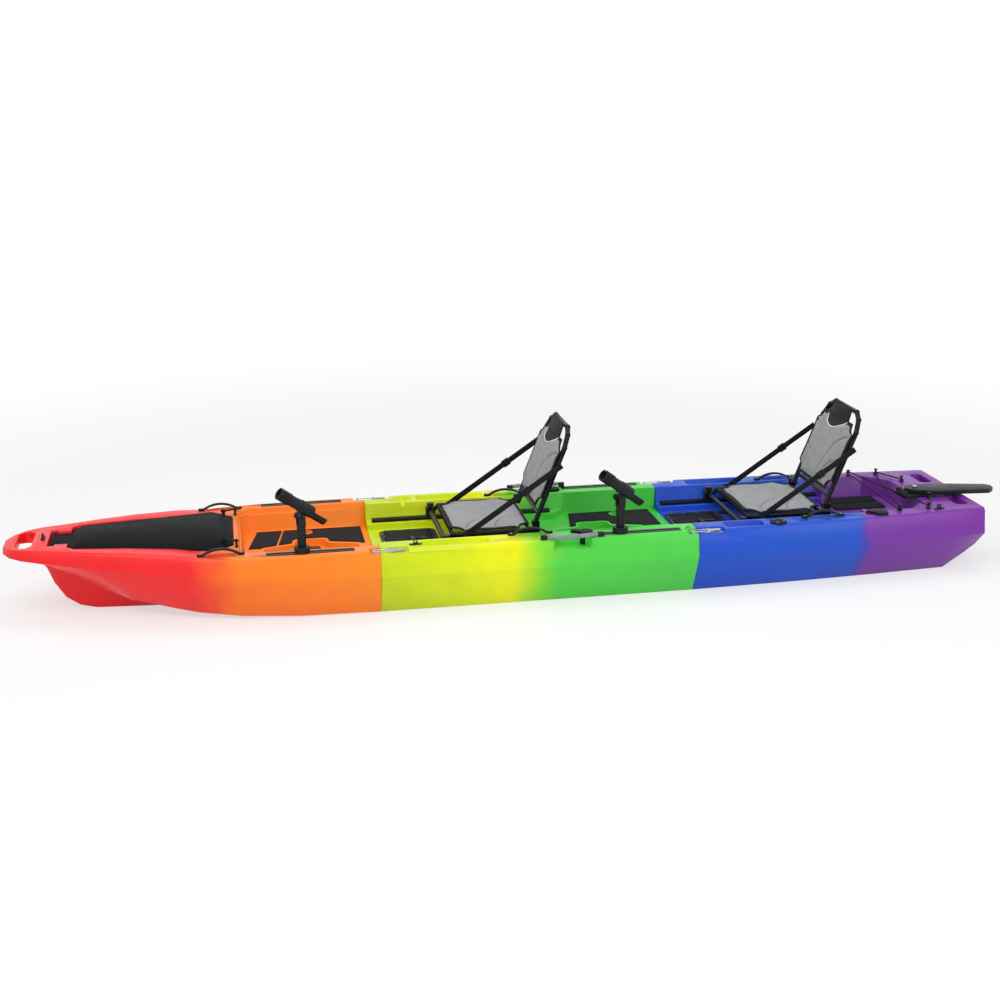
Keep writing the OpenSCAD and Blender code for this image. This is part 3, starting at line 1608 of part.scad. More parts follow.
// Back pad, its stitched arcs towards the hinge, and the smooth panel at the head
back_pad_start = 64;
back_pad_len = back_len - 54 - back_pad_start;
head_len = 54;
module seat_back_pad(i) {
    color("gray")
        at_back(i)
            translate([-seat_tube_r - seat_clear, 0, 0])
                rotate([0, 90, 0])
                    mirror([0, 0, 1]) {
                        translate([-back_pad_start - back_pad_len, 0, 0])
                            padded_panel(back_pad_len, back_half + 9, 42, 48);
                        translate([-back_len - 4, 0, 0])
                            head_panel();
                    }
}
module head_panel() {
    rows = 8;
    cols = 10;
    w0 = 98;
    w1 = 112;
    slab([
        for (i = [0:rows])
            let (t = head_len * i / rows, h = w0 + (w1 - w0) * i / rows)
                [
                    for (j = [0:cols])
                        let (c = 2 * j / cols - 1, ends = min(1, min(t, head_len - t) / 30))
                            [t, h * c, seat_pad_edge + seat_pad_crown * (1 - c * c) * sqrt(ends)]
                ]
    ]);
}
// Webbing straps from the base to the back, with a ladder-lock buckle on each
strap_width = 25;
strap_thick = 2.5;
module seat_straps(i) {
    p = [strap_front_x, side_z];
    q = [strap_up * sin(back_lean), hinge_h + strap_up * cos(back_lean)];
    d = q - p;
    l = norm(d);
    end = 14;
    color("black")
        at_seat(i)
            both_sides()
                translate([p[0], strap_y, p[1]])
                    rotate([0, -atan2(d[1], d[0]), 0])
                        difference() {
                            union() {
                                translate([-end, -strap_thick / 2, -strap_width / 2])
                                    cube([l + 2 * end, strap_thick, strap_width]);
                                translate([l * 0.6, -5, -strap_width / 2 - 4])
                                    cube([30, 10, strap_width + 8]);
                            }
                            for (x = [0, l])
                                translate([x, 20, 0])
                                    rotate([90, 0, 0])
                                        cylinder(r = strap_pin_r + seat_clear, h = 40);
                        }
}

module front_hatch_lid() { hatch_lid(hatch_x[0]); }
module rear_hatch_lid() { hatch_lid(hatch_x[1]); }
module front_hatch_handle() { hatch_handle(hatch_x[0]); }
module rear_hatch_handle() { hatch_handle(hatch_x[1]); }
module latch_lever_bow_port() { latch_lever(0, -1); }
module latch_lever_bow_starboard() { latch_lever(0, 1); }
module latch_lever_stern_port() { latch_lever(1, -1); }
module latch_lever_stern_starboard() { latch_lever(1, 1); }
module latch_bail_bow_port() { latch_bail(0, -1); }
module latch_bail_bow_starboard() { latch_bail(0, 1); }
module latch_bail_stern_port() { latch_bail(1, -1); }
module latch_bail_stern_starboard() { latch_bail(1, 1); }
module rod_holder_base_bow() { rod_holder_base(0); }
module rod_holder_post_bow() { rod_holder_post(0); }
module rod_holder_cradle_bow() { rod_holder_cradle(0); }
module rod_holder_base_mid() { rod_holder_base(1); }
module rod_holder_post_mid() { rod_holder_post(1); }
module rod_holder_cradle_mid() { rod_holder_cradle(1); }
module flush_cap_mid_port() { flush_cap(0, -1); }
module flush_cap_mid_starboard() { flush_cap(0, 1); }
module flush_cap_stern_port() { flush_cap(1, -1); }
module flush_cap_stern_starboard() { flush_cap(1, 1); }
module side_handle_port() { side_handle(-1); }
module side_handle_starboard() { side_handle(1); }
module front_seat_base() { seat_base(0); }
module front_seat_hardware() { seat_hardware(0); }
module front_seat_back() { seat_back(0); }
module front_seat_pan_pad() { seat_pan_pad(0); }
module front_seat_back_pad() { seat_back_pad(0); }
module front_seat_straps() { seat_straps(0); }
module rear_seat_base() { seat_base(1); }
module rear_seat_hardware() { seat_hardware(1); }
module rear_seat_back() { seat_back(1); }
module rear_seat_pan_pad() { seat_pan_pad(1); }
module rear_seat_back_pad() { seat_back_pad(1); }
module rear_seat_straps() { seat_straps(1); }

bow_hull();
mid_hull();
stern_hull();
bow_hatch_lid();
bow_hatch_seal();
bow_lid_hinge();
lid_bands();
drive_well_frames();
deck_pads();
gear_tracks();
seat_rails();
hatch_frames();
front_hatch_lid();
rear_hatch_lid();
front_hatch_handle();
rear_hatch_handle();
latch_bases();
latch_lever_bow_port();
latch_lever_bow_starboard();
latch_lever_stern_port();
latch_lever_stern_starboard();
latch_bail_bow_port();
latch_bail_bow_starboard();
latch_bail_stern_port();
latch_bail_stern_starboard();
rod_holder_base_bow();
rod_holder_post_bow();
rod_holder_cradle_bow();
rod_holder_base_mid();
rod_holder_post_mid();
rod_holder_cradle_mid();
flush_rod_tubes();
flush_cap_mid_port();
flush_cap_mid_starboard();
flush_cap_stern_port();
flush_cap_stern_starboard();
handle_brackets();
side_handle_port();
side_handle_starboard();
strap_handles();
lashing_eyes();
bungee();
deck_plugs();
rudder_bracket();
rudder_pin();
rudder_blade();
rudder_inserts();
deck_screws();
front_seat_base();
front_seat_hardware();
front_seat_back();
front_seat_pan_pad();
front_seat_back_pad();
front_seat_straps();
rear_seat_base();
rear_seat_hardware();
rear_seat_back();
rear_seat_pan_pad();
rear_seat_back_pad();
rear_seat_straps();
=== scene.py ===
# %% [markdown]
# # A tandem kayak, dressed for the camera
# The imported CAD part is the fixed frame: three moulded hull sections, hatches, latches, rod holders, a
# stowed rudder and two folding seats. This lesson rounds their edges, sews the seats, laces the cord and
# lights the whole. Everything is in metres: X runs aft, Y to starboard and Z up, and the origin is on the
# keel at mid-length.

# %% Load the frame
import bpy, bmesh, json, math
import numpy as np
from mathutils import Matrix, Vector
from mathutils.bvhtree import BVHTree


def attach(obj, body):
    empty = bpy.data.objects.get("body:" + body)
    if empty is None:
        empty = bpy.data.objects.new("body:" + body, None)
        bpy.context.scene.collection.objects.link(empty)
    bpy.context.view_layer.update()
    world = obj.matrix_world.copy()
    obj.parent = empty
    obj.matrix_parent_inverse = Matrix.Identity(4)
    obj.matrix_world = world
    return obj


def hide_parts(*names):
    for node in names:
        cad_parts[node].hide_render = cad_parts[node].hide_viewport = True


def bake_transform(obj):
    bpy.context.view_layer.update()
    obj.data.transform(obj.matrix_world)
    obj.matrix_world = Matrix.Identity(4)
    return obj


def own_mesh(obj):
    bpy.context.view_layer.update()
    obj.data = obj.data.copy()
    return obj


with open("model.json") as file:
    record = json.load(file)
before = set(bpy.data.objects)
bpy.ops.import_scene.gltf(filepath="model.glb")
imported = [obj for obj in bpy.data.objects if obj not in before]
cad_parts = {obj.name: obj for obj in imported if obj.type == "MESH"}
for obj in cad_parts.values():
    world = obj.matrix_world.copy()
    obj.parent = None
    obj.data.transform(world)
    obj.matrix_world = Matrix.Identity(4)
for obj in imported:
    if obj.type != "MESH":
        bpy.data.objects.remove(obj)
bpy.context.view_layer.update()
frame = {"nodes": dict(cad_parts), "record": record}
nodes = frame["nodes"]
node_body = {n: body for body, listed in frame["record"]["behaviour"]["bodies"].items() for n in listed}
scene = bpy.context.scene

# %% [markdown]
# ## Camera
# The photograph's large view is from the port side, a little ahead of the seats and above the deck. The
# camera's place and lens were fitted to the hull's ends, the joints between its sections and the seats.

# %% Camera
CAMERA_AT = Vector((-1.1256, -6.5665, 2.2517))
CAMERA_AIM = Vector((-0.004, 0.0, 0.3535))
CAMERA_ROLL = math.radians(-0.662)
cam_data = bpy.data.cameras.new("camera")
cam_data.lens = 57.12
cam_data.sensor_width = 36.0
camera = bpy.data.objects.new("camera", cam_data)
facing = (CAMERA_AIM - CAMERA_AT).to_track_quat("-Z", "Y").to_matrix()
camera.location = CAMERA_AT
camera.rotation_euler = (facing @ Matrix.Rotation(CAMERA_ROLL, 3, "Z")).to_euler()
scene.collection.objects.link(camera)
scene.camera = camera
print("camera", tuple(round(v, 3) for v in camera.location), "lens", cam_data.lens, "mm")

# %% [markdown]
# ## One helper for shader nodes
# Every material below is a small graph. One function adds a node, sets its properties and inputs, and joins
# an input to another node's output where a socket is given. Colours are written as sRGB hex and turned to
# linear.

# %% Node helper
def linear(hex_code):
    """Linear RGBA from an sRGB hex colour."""
    parts = [int(hex_code[k:k + 2], 16) / 255 for k in (1, 3, 5)]
    return (*[c / 12.92 if c <= 0.04045 else ((c + 0.055) / 1.055) ** 2.4 for c in parts], 1.0)


def add(mat, kind, inputs=None, stops=None, **settings):
    """Adds one shader node. An input that is given a socket is linked to it, and any other value is set."""
    node = mat.node_tree.nodes.new("ShaderNode" + kind)
    for name, value in settings.items():
        setattr(node, name, value)
    for k, (position, color) in enumerate(stops or []):
        elements = node.color_ramp.elements
        element = elements[k] if k < len(elements) else elements.new(position)
        element.position, element.color = position, color
    for name, value in (inputs or {}).items():
        if isinstance(value, bpy.types.NodeSocket):
            mat.node_tree.links.new(value, node.inputs[name])
        else:
            node.inputs[name].default_value = value
    return node


def blank(name):
    """An empty material and its object coordinates."""
    mat = bpy.data.materials.new(name)
    mat.use_nodes = True
    mat.node_tree.nodes.clear()
    return mat, add(mat, "TexCoord").outputs["Object"]


print("red in linear light:", [round(c, 3) for c in linear("#F9323A")])

# %% [markdown]
# ## Hull plastic
# The hull is rotationally moulded polyethylene: a waxy, half-gloss skin with a fine orange peel and slow
# waves where the wall shrank. Its colour changes along its length, softly inside a section, and at a joint
# all at once, so the colour is read from the distance along the hull.

# %% Hull plastic
PEEL_MM = 2.4          # spacing of the orange peel
WAVE_MM = 170          # spacing of the slow waves left by shrinkage
CLOUD_MM = 90          # size of the faint clouds in one colour
SCUFF_MM = 14          # spacing of the fine scuffs
DRIFT_MM = 90          # size of the clouds where two coloured powders mixed in the mould
DRIFT_REACH = 0.06     # how far, in metres, a cloud can carry a colour


def moulded_polyethylene(name, stops):
    """Half-gloss moulded skin, its colour given at places along the hull."""
    mat, here = blank(name)
    x0, x1 = stops[0][0], stops[-1][0]
    x = add(mat, "SeparateXYZ", {0: here}).outputs["X"]
    drift = add(mat, "TexNoise", {"Vector": here, "Scale": 1000 / DRIFT_MM, "Detail": 5.0}).outputs["Fac"]
    blur = add(mat, "MapRange", {"Value": drift, "To Min": -DRIFT_REACH, "To Max": DRIFT_REACH}).outputs["Result"]
    mixed = add(mat, "Math", {0: x, 1: blur}, operation="ADD").outputs["Value"]
    along = add(mat, "MapRange", {"Value": mixed, "From Min": x0, "From Max": x1}).outputs["Result"]
    ramp = add(mat, "ValToRGB", {"Fac": along}, [((p - x0) / (x1 - x0), linear(c)) for p, c in stops])
    cloud = add(mat, "TexNoise", {"Vector": here, "Scale": 1000 / CLOUD_MM, "Detail": 4.0}).outputs["Fac"]
    shade = add(mat, "MapRange", {"Value": cloud, "From Min": 0.3, "From Max": 0.7, "To Min": 0.96, "To Max": 1.03})
    tint = add(mat, "HueSaturation", {"Color": ramp.outputs["Color"], "Value": shade.outputs["Result"]})
    peel = add(mat, "TexNoise", {"Vector": here, "Scale": 1000 / PEEL_MM, "Detail": 2.0}).outputs["Fac"]
    wave = add(mat, "TexNoise", {"Vector": here, "Scale": 1000 / WAVE_MM, "Detail": 1.0}).outputs["Fac"]
    bent = add(mat, "Bump", {"Height": wave, "Distance": 0.0012, "Strength": 0.25}).outputs["Normal"]
    rough = add(mat, "Bump", {"Height": peel, "Distance": 0.00012, "Strength": 0.35, "Normal": bent})
    rough = rough.outputs["Normal"]
    scuff = add(mat, "TexNoise", {"Vector": here, "Scale": 1000 / SCUFF_MM, "Detail": 5.0}).outputs["Fac"]
    gloss = add(mat, "MapRange", {"Value": scuff, "From Min": 0.3, "From Max": 0.7, "To Min": 0.30, "To Max": 0.42})
    skin = add(mat, "BsdfPrincipled", {
        "Base Color": tint.outputs["Color"], "Roughness": gloss.outputs["Result"], "Normal": rough,
        "IOR": 1.51, "Specular IOR Level": 0.36})
    add(mat, "OutputMaterial", {"Surface": skin.outputs["BSDF"]})
    return mat


red_orange = moulded_polyethylene("polyethylene_red_orange", [
    (-2.10, "#F21A20"), (-1.34, "#F62022"), (-1.26, "#F84C1C"), (-1.16, "#FE7C14"), (-0.57, "#FF8A1C")])
yellow_green = moulded_polyethylene("polyethylene_yellow_green", [
    (-0.57, "#C6DC04"), (-0.24, "#DAE804"), (-0.02, "#F0F000"), (0.10, "#84DE2C"), (0.18, "#50D444"),
    (0.775, "#4AD048")])
blue_purple = moulded_polyethylene("polyethylene_blue_purple", [
    (0.775, "#0C4CC8"), (1.49, "#1050C4"), (1.53, "#403CB4"), (1.56, "#742EA0"), (2.10, "#7C2A9E")])
print("hull plastics:", red_orange.name, yellow_green.name, blue_purple.name)

# %% [markdown]
# ## Moulded and machined fittings
# Frames, hatches, rod holders and the rudder are injection moulded: black or grey nylon and ABS with a fine
# spark-eroded texture. Grips, loops and caps are rubber, which is duller. Tracks and seat tubes are alloy,
# and latches and screws stainless steel, with brushing along the boat.

# %% Fitting materials
MATT_GLOSS = 0.22        # a spark-eroded texture hides most of the gloss at low angles
MOTTLE_MM = 30           # size of the faint mottling of a moulding
BRUSH_MM = 1.5           # spacing of brush lines


def moulded(name, color, roughness, texture_mm, depth_mm, sheen=MATT_GLOSS):
    """Moulded plastic or rubber: an even matt texture, and a colour that wanders a little."""
    mat, here = blank(name)
    cloud = add(mat, "TexNoise", {"Vector": here, "Scale": 1000 / MOTTLE_MM, "Detail": 4.0}).outputs["Fac"]
    shade = add(mat, "MapRange", {"Value": cloud, "From Min": 0.3, "From Max": 0.7, "To Min": 0.88, "To Max": 1.14})
    tint = add(mat, "HueSaturation", {"Color": linear(color), "Value": shade.outputs["Result"]})
    gloss = add(mat, "MapRange", {
        "Value": cloud, "From Min": 0.3, "From Max": 0.7, "To Min": roughness - 0.06, "To Max": roughness + 0.07})
    fine = add(mat, "TexNoise", {"Vector": here, "Scale": 1000 / texture_mm, "Detail": 2.0}).outputs["Fac"]
    bump = add(mat, "Bump", {"Height": fine, "Distance": depth_mm / 1000, "Strength": 0.6})
    skin = add(mat, "BsdfPrincipled", {
        "Base Color": tint.outputs["Color"], "Roughness": gloss.outputs["Result"], "Normal": bump.outputs["Normal"],
        "IOR": 1.5, "Specular IOR Level": sheen})
    add(mat, "OutputMaterial", {"Surface": skin.outputs["BSDF"]})
    return mat


def brushed(name, color, roughness, along):
    """Metal with fine brush lines. along is how far the lines are stretched on each axis."""
    mat, here = blank(name)
    laid = add(mat, "Mapping", {"Vector": here, "Scale": along}).outputs["Vector"]
    lines = add(mat, "TexNoise", {"Vector": laid, "Scale": 1000 / BRUSH_MM, "Detail": 3.0}).outputs["Fac"]
    shade = add(mat, "MapRange", {"Value": lines, "From Min": 0.3, "From Max": 0.7, "To Min": 0.9, "To Max": 1.08})
    tint = add(mat, "HueSaturation", {"Color": linear(color), "Value": shade.outputs["Result"]})
    gloss = add(mat, "MapRange", {
        "Value": lines, "From Min": 0.3, "From Max": 0.7, "To Min": roughness - 0.08, "To Max": roughness + 0.10})
    bump = add(mat, "Bump", {"Height": lines, "Distance": 0.00003, "Strength": 0.5})
    skin = add(mat, "BsdfPrincipled", {
        "Base Color": tint.outputs["Color"], "Roughness": gloss.outputs["Result"], "Normal": bump.outputs["Normal"],
        "Metallic": 1.0})
    add(mat, "OutputMaterial", {"Surface": skin.outputs["BSDF"]})
    return mat


LENGTHWAYS, EVEN = (0.06, 1.0, 1.0), (1.0, 1.0, 1.0)
black_nylon = moulded("black_nylon", "#1B1C1E", 0.46, 1.0, 0.06)
black_abs = moulded("black_abs", "#222426", 0.40, 1.4, 0.07)
black_abs_lid = moulded("black_abs_lid", "#1A1B1D", 0.50, 1.6, 0.10, 0.02)
black_abs_hatch = moulded("black_abs_hatch", "#1F2023", 0.52, 1.3, 0.08, 0.05)
rudder_nylon = moulded("rudder_nylon", "#1A1D1E", 0.42, 1.6, 0.06)
grip_rubber = moulded("grey_grip_rubber", "#8B8F96", 0.56, 2.2, 0.14)
black_rubber = moulded("black_rubber", "#141416", 0.64, 1.2, 0.08)
anodised_alloy = brushed("anodised_alloy", "#3A3C40", 0.36, LENGTHWAYS)
coated_tube = brushed("powder_coated_tube", "#232427", 0.38, EVEN)
stainless_steel = brushed("stainless_steel", "#B9BBBD", 0.24, LENGTHWAYS)
brass = brushed("machined_brass", "#C8A24A", 0.28, EVEN)
print("fitting materials made")

# %% [markdown]
# ## Soft materials
# The deck pads are closed-cell foam with ribs across them, their grooves darkened as painted shade. The seat
# pads are open spacer mesh inside a black binding, each cell darkened in its middle as painted shade in the
# hole. The cell pattern follows each pad's own UV map, which is in metres. Two attributes of the pad are read
# as well: `rim` says how far a point is from the pad's edge, and `crest` how far it is inside the black cloth
# at the head. The real cells are about 3 mm. They are drawn at 5 mm, because smaller ones don't show in the
# render.

# %% Soft materials
FOAM_CELL_MM = 1.4       # size of the foam's open cells
WEAR_MM = 40             # size of the faint clouds on cloth
GROOVE_TURN = math.radians(8)


def grooved_foam(name, color, pitch_mm):
    """Closed-cell foam: dull, finely pitted, with straight grooves cut across it, and the grooves darkened as painted
    shade.
    """
    mat, here = blank(name)
    cells = add(mat, "TexNoise", {"Vector": here, "Scale": 1000 / FOAM_CELL_MM, "Detail": 3.0}).outputs["Fac"]
    shade = add(mat, "MapRange", {"Value": cells, "From Min": 0.3, "From Max": 0.7, "To Min": 0.86, "To Max": 1.12})
    slanted = add(mat, "Mapping", {"Vector": here, "Rotation": (0, 0, GROOVE_TURN)}).outputs["Vector"]
    band = add(mat, "TexWave", {"Vector": slanted, "Scale": 0.05 * 2 * math.pi * 1000 / pitch_mm}, wave_profile="TRI")
    groove = add(mat, "ValToRGB", {"Fac": band.outputs["Fac"]}, [(0.06, (0, 0, 0, 1)), (0.18, (1, 1, 1, 1))])
    # Painted shade: the grooves are darkened to 0.6 of the foam's colour, where shade would fall in them.
    dark = add(mat, "MapRange", {"Value": groove.outputs["Color"], "To Min": 0.6, "To Max": 1.0})
    both = add(mat, "Math", {0: shade.outputs["Result"], 1: dark.outputs["Result"]}, operation="MULTIPLY")
    tint = add(mat, "HueSaturation", {"Color": linear(color), "Value": both.outputs["Value"]})
    pits = add(mat, "Bump", {"Height": cells, "Distance": 0.0003, "Strength": 0.7}).outputs["Normal"]
    cut = add(mat, "Bump", {"Height": groove.outputs["Color"], "Distance": 0.0012, "Strength": 0.7, "Normal": pits})
    skin = add(mat, "BsdfPrincipled", {
        "Base Color": tint.outputs["Color"], "Normal": cut.outputs["Normal"], "Roughness": 0.85,
        "Specular IOR Level": 0.12})
    add(mat, "OutputMaterial", {"Surface": skin.outputs["BSDF"]})
    return mat


def woven(name, color, cell_mm, depth_mm, stretch=1.0, rim_mm=0, rim_color="#17181A"):
    """Cloth whose cells lie on the piece's UV map, each cell darkened towards its middle as painted shade in the gap.
    With rim_mm, a bound edge of that width is black, and so is the crest."""
    mat, here = blank(name)
    uv = add(mat, "UVMap").outputs["UV"]
    grid = (1000 / cell_mm, 1000 / cell_mm / stretch, 1)
    laid = add(mat, "Mapping", {"Vector": uv, "Scale": grid}).outputs["Vector"]
    cell = add(mat, "TexVoronoi", {"Vector": laid, "Scale": 1.0, "Randomness": 0.15}).outputs["Distance"]
    c = linear(color)
    # Painted shade: each cell is darkened to 0.4 of the cloth's colour towards its middle, as shade in the holes
    # between the yarns.
    hole = add(mat, "ValToRGB", {"Fac": cell}, [(0.16, tuple(0.4 * v for v in c[:3]) + (1,)), (0.42, c)])
    cloud = add(mat, "TexNoise", {"Vector": here, "Scale": 1000 / WEAR_MM, "Detail": 4.0}).outputs["Fac"]
    shade = add(mat, "MapRange", {"Value": cloud, "From Min": 0.3, "From Max": 0.7, "To Min": 0.92, "To Max": 1.08})
    tint = add(mat, "HueSaturation", {"Color": hole.outputs["Color"], "Value": shade.outputs["Result"]})
    tint = tint.outputs["Color"]
    if rim_mm:
        rim = add(mat, "Attribute", attribute_name="rim").outputs["Fac"]
        bound = add(mat, "MapRange", {
            "Value": rim, "From Min": (rim_mm + 0.6) / 1000, "From Max": (rim_mm - 0.6) / 1000})
        crest = add(mat, "Attribute", attribute_name="crest").outputs["Fac"]
        over = add(mat, "MapRange", {"Value": crest, "From Min": -0.0006, "From Max": 0.0006})
        black = add(mat, "Math", {0: bound.outputs["Result"], 1: over.outputs["Result"]}, operation="MAXIMUM")
        tint = add(mat, "Mix", {0: black.outputs["Value"], 6: tint, 7: linear(rim_color)}, data_type="RGBA")
        tint = tint.outputs[2]
    bump = add(mat, "Bump", {"Height": cell, "Distance": depth_mm / 1000, "Strength": 0.8})
    skin = add(mat, "BsdfPrincipled", {
        "Base Color": tint, "Normal": bump.outputs["Normal"], "Roughness": 0.85, "Specular IOR Level": 0.2,
        "Sheen Weight": 0.08})
    add(mat, "OutputMaterial", {"Surface": skin.outputs["BSDF"]})
    return mat


deck_foam = grooved_foam("eva_deck_foam", "#27282B", 14)
spacer_mesh = woven("polyester_spacer_mesh", "#A8A9AB", 5.0, 0.8, rim_mm=13)
head_cloth = woven("black_nylon_cloth", "#17181A", 2.6, 0.4)
piping_cloth = woven("white_piping_cloth", "#F6F6F4", 1.6, 0.2)
thread = woven("dark_seam_thread", "#3A3C40", 1.5, 0.2)
webbing = woven("black_polyester_webbing", "#18191B", 2.0, 0.35, 2.5)
braid = woven("braided_cord_cover", "#1A1B1D", 1.8, 0.35)
print("soft materials made")

# %% [markdown]
# ## Elastic cord
# A shock cord is laced round six hooks over the tank well. It is rubber in a braided cover, stretched
# tight, so its runs are straight and it hugs each hook. A curve with a round section is the natural way to
# make it, and it follows the same points as the solid cord of the CAD part: a turn round each hook, with
# the second half lifted where it crosses the first.

# %% Elastic cord
GUNWALE = 0.287
HOOKS = [(1.718, 0.298), (1.853, 0.292), (1.920, 0.150), (1.920, -0.150), (1.853, -0.292), (1.718, -0.298)]
CORD_D, HOOK_R, CORD_Z, CROSS_LIFT = 0.006, 0.005, GUNWALE + 0.009, 0.0075
# hook, first and last angle of the turn round it, and the height above the first half
LACING = [(2, -90, 45, 0), (1, 20, 148, 0), (5, -10, -155, 0), (0, 170, 25, CROSS_LIFT), (4, 208, 340, CROSS_LIFT),
          (3, -45, 90, CROSS_LIFT)]
TURN_STEPS = 6


def round_line(name, points, radius, closed=False):
    """A curve with a round section along points, as one spline."""
    curve = bpy.data.curves.new(name, "CURVE")
    curve.dimensions = "3D"
    curve.bevel_depth = radius
    curve.bevel_resolution = 3
    curve.use_fill_caps = not closed
    spline = curve.splines.new("POLY")
    spline.points.add(len(points) - 1)
    for knot, place in zip(spline.points, points):
        knot.co = (*place, 1.0)
    spline.use_cyclic_u = closed
    spline.use_smooth = True
    obj = bpy.data.objects.new(name, curve)
    scene.collection.objects.link(obj)
    return obj


WRAP_R = HOOK_R + CORD_D / 2 + 0.0002
route = []
for hook, start, stop, lift in LACING:
    for k in range(TURN_STEPS + 1):
        a = math.radians(start + (stop - start) * k / TURN_STEPS)
        x, y = HOOKS[hook]
        route.append(Vector((x + WRAP_R * math.cos(a), y + WRAP_R * math.sin(a), CORD_Z + lift)))
cord = round_line("bungee_cord", route, CORD_D / 2)
cord.data.materials.append(braid)
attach(cord, "hull")
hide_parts("bungee")

# %% [markdown]
# ## Rounded copies of the CAD pieces
# Moulded parts have no knife edges. Each CAD solid is copied, its loose triangles are merged, its sharp
# edges get a small bevel, and faces that meet at a shallow angle are shaded smooth. The copy stands for the
# solid and rides on its body.

# %% Rounding helper
def rounded(node, material, radius_mm, slot, sharp_deg=30, shortest_mm=0.0, hull=False, smooth_deg=32):
    """A copy of a CAD node with bevelled edges. A hull keeps its triangles, because its faces have holes in them."""
    bm = bmesh.new()
    bm.from_mesh(nodes[node].data)
    bmesh.ops.remove_doubles(bm, verts=bm.verts, dist=2e-5)
    if not hull:
        bmesh.ops.dissolve_limit(bm, angle_limit=math.radians(0.5), verts=bm.verts, edges=bm.edges)
    edges = [e for e in bm.edges if len(e.link_faces) == 2 and e.calc_face_angle(0) > math.radians(sharp_deg)
             and e.calc_length() > shortest_mm / 1000]
    if radius_mm and edges:
        bmesh.ops.bevel(bm, geom=edges, offset=radius_mm / 1000, offset_type="OFFSET", segments=2, profile=0.5,
                        affect="EDGES", clamp_overlap=not hull, material=-1)
    bmesh.ops.triangulate(bm, faces=[f for f in bm.faces if len(f.verts) > 4])
    return finished(bm, node + "_rounded", material, node_body[node], node, smooth_deg)


def finished(bm, name, material, body, node=None, smooth_deg=32):
    """The bmesh made an object. It rides on a body, where one is given, and stands for a node, where one is named."""
    mesh = bpy.data.meshes.new(name)
    bm.to_mesh(mesh)
    bm.free()
    mesh.shade_smooth()
    mesh.set_sharp_from_angle(angle=math.radians(smooth_deg))
    mesh.materials.append(material)
    obj = bpy.data.objects.new(name, mesh)
    scene.collection.objects.link(obj)
    if body:
        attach(obj, body)
    if node:
        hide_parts(node)
    return obj


print("rounding helper ready")

# %% [markdown]
# The hull's edges are about 6 mm round on the real boat. Only its longer edges are bevelled: the short ones
# belong to the round recesses, which are smooth already.

# %% Hull sections
for node, material, slot in (("bow_hull", red_orange, "hull_red"), ("mid_hull", yellow_green, "hull_yellow"),
                             ("stern_hull", blue_purple, "hull_blue")):
    piece = rounded(node, material, 3.0, slot, sharp_deg=34, shortest_mm=14, hull=True)
    print(piece.name, len(piece.data.polygons), "faces")

# %% [markdown]
# Each fitting takes the material of its real counterpart and a bevel that suits its size: up to 3 mm on a
# large lid, a few tenths on pressed steel. Round tubes and wires have no edges to bevel.

# %% Fittings
fittings = {
    "bow_hatch_lid": (black_abs_lid, 3.0, "lid_grey"), "bow_hatch_seal": (black_rubber, 0.8, "black_rubber"),
    "bow_lid_hinge": (black_nylon, 1.0, "black_plastic"), "drive_well_frames": (black_abs, 2.0, "black_plastic"),
    "deck_pads": (deck_foam, 1.2, "foam_grey"), "gear_tracks": (anodised_alloy, 0.4, "alloy_black"),
    "seat_rails": (anodised_alloy, 0.4, "alloy_black"), "hatch_frames": (black_abs, 1.2, "black_plastic"),
    "front_hatch_lid": (black_abs_hatch, 1.2, "lid_grey"), "rear_hatch_lid": (black_abs_hatch, 1.2, "lid_grey"),
    "front_hatch_handle": (black_nylon, 1.5, "black_plastic"),
    "rear_hatch_handle": (black_nylon, 1.5, "black_plastic"),
    "latch_bases": (stainless_steel, 0.3, "stainless"), "flush_rod_tubes": (black_nylon, 0.8, "black_plastic"),
    "handle_brackets": (black_nylon, 1.5, "black_plastic"), "strap_handles": (black_rubber, 1.0, "black_plastic"),
    "lashing_eyes": (black_nylon, 0.8, "black_plastic"), "deck_plugs": (black_rubber, 1.0, "black_plastic"),
    "rudder_bracket": (black_nylon, 1.2, "black_plastic"), "rudder_pin": (stainless_steel, 0.6, "stainless"),
    "rudder_blade": (rudder_nylon, 2.0, "black_plastic"), "rudder_inserts": (brass, 0.4, "brass"),
    "deck_screws": (stainless_steel, 0.5, "stainless"), "lid_bands": (black_rubber, 0.8, "black_rubber"),
}
for side in ("port", "starboard"):
    fittings["side_handle_" + side] = (grip_rubber, 0.5, "grip_grey")
    for place in ("bow", "stern"):
        fittings["latch_lever_%s_%s" % (place, side)] = (stainless_steel, 0.8, "stainless")
        fittings["latch_bail_%s_%s" % (place, side)] = (stainless_steel, 0.0, "stainless")
    for place in ("mid", "stern"):
        fittings["flush_cap_%s_%s" % (place, side)] = (black_rubber, 1.5, "black_plastic")
for place in ("bow", "mid"):
    for part in ("base", "post", "cradle"):
        fittings["rod_holder_%s_%s" % (part, place)] = (black_nylon, 1.0, "black_plastic")
for seat in ("front", "rear"):
    fittings[seat + "_seat_base"] = (coated_tube, 0.0, "alloy_black")
    fittings[seat + "_seat_back"] = (coated_tube, 0.0, "alloy_black")
    fittings[seat + "_seat_hardware"] = (black_nylon, 1.0, "black_plastic")
dressed = {node: rounded(node, *finish) for node, finish in fittings.items()}
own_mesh(dressed["lid_bands"])
print(len(dressed), "fittings rounded")

# %% [markdown]
# ## Seat pads
# A pad is two layers of cloth over foam. It rests flat on the frame's tubes and swells in front. The front
# seat's CAD pads are copied, brought to a flat layout (t along the pad, y across, z out of it), rebuilt
# from small even faces and blown up as cloth under light pressure. Its stitched arcs are pressed in
# afterwards, because the rebuilding softens them.

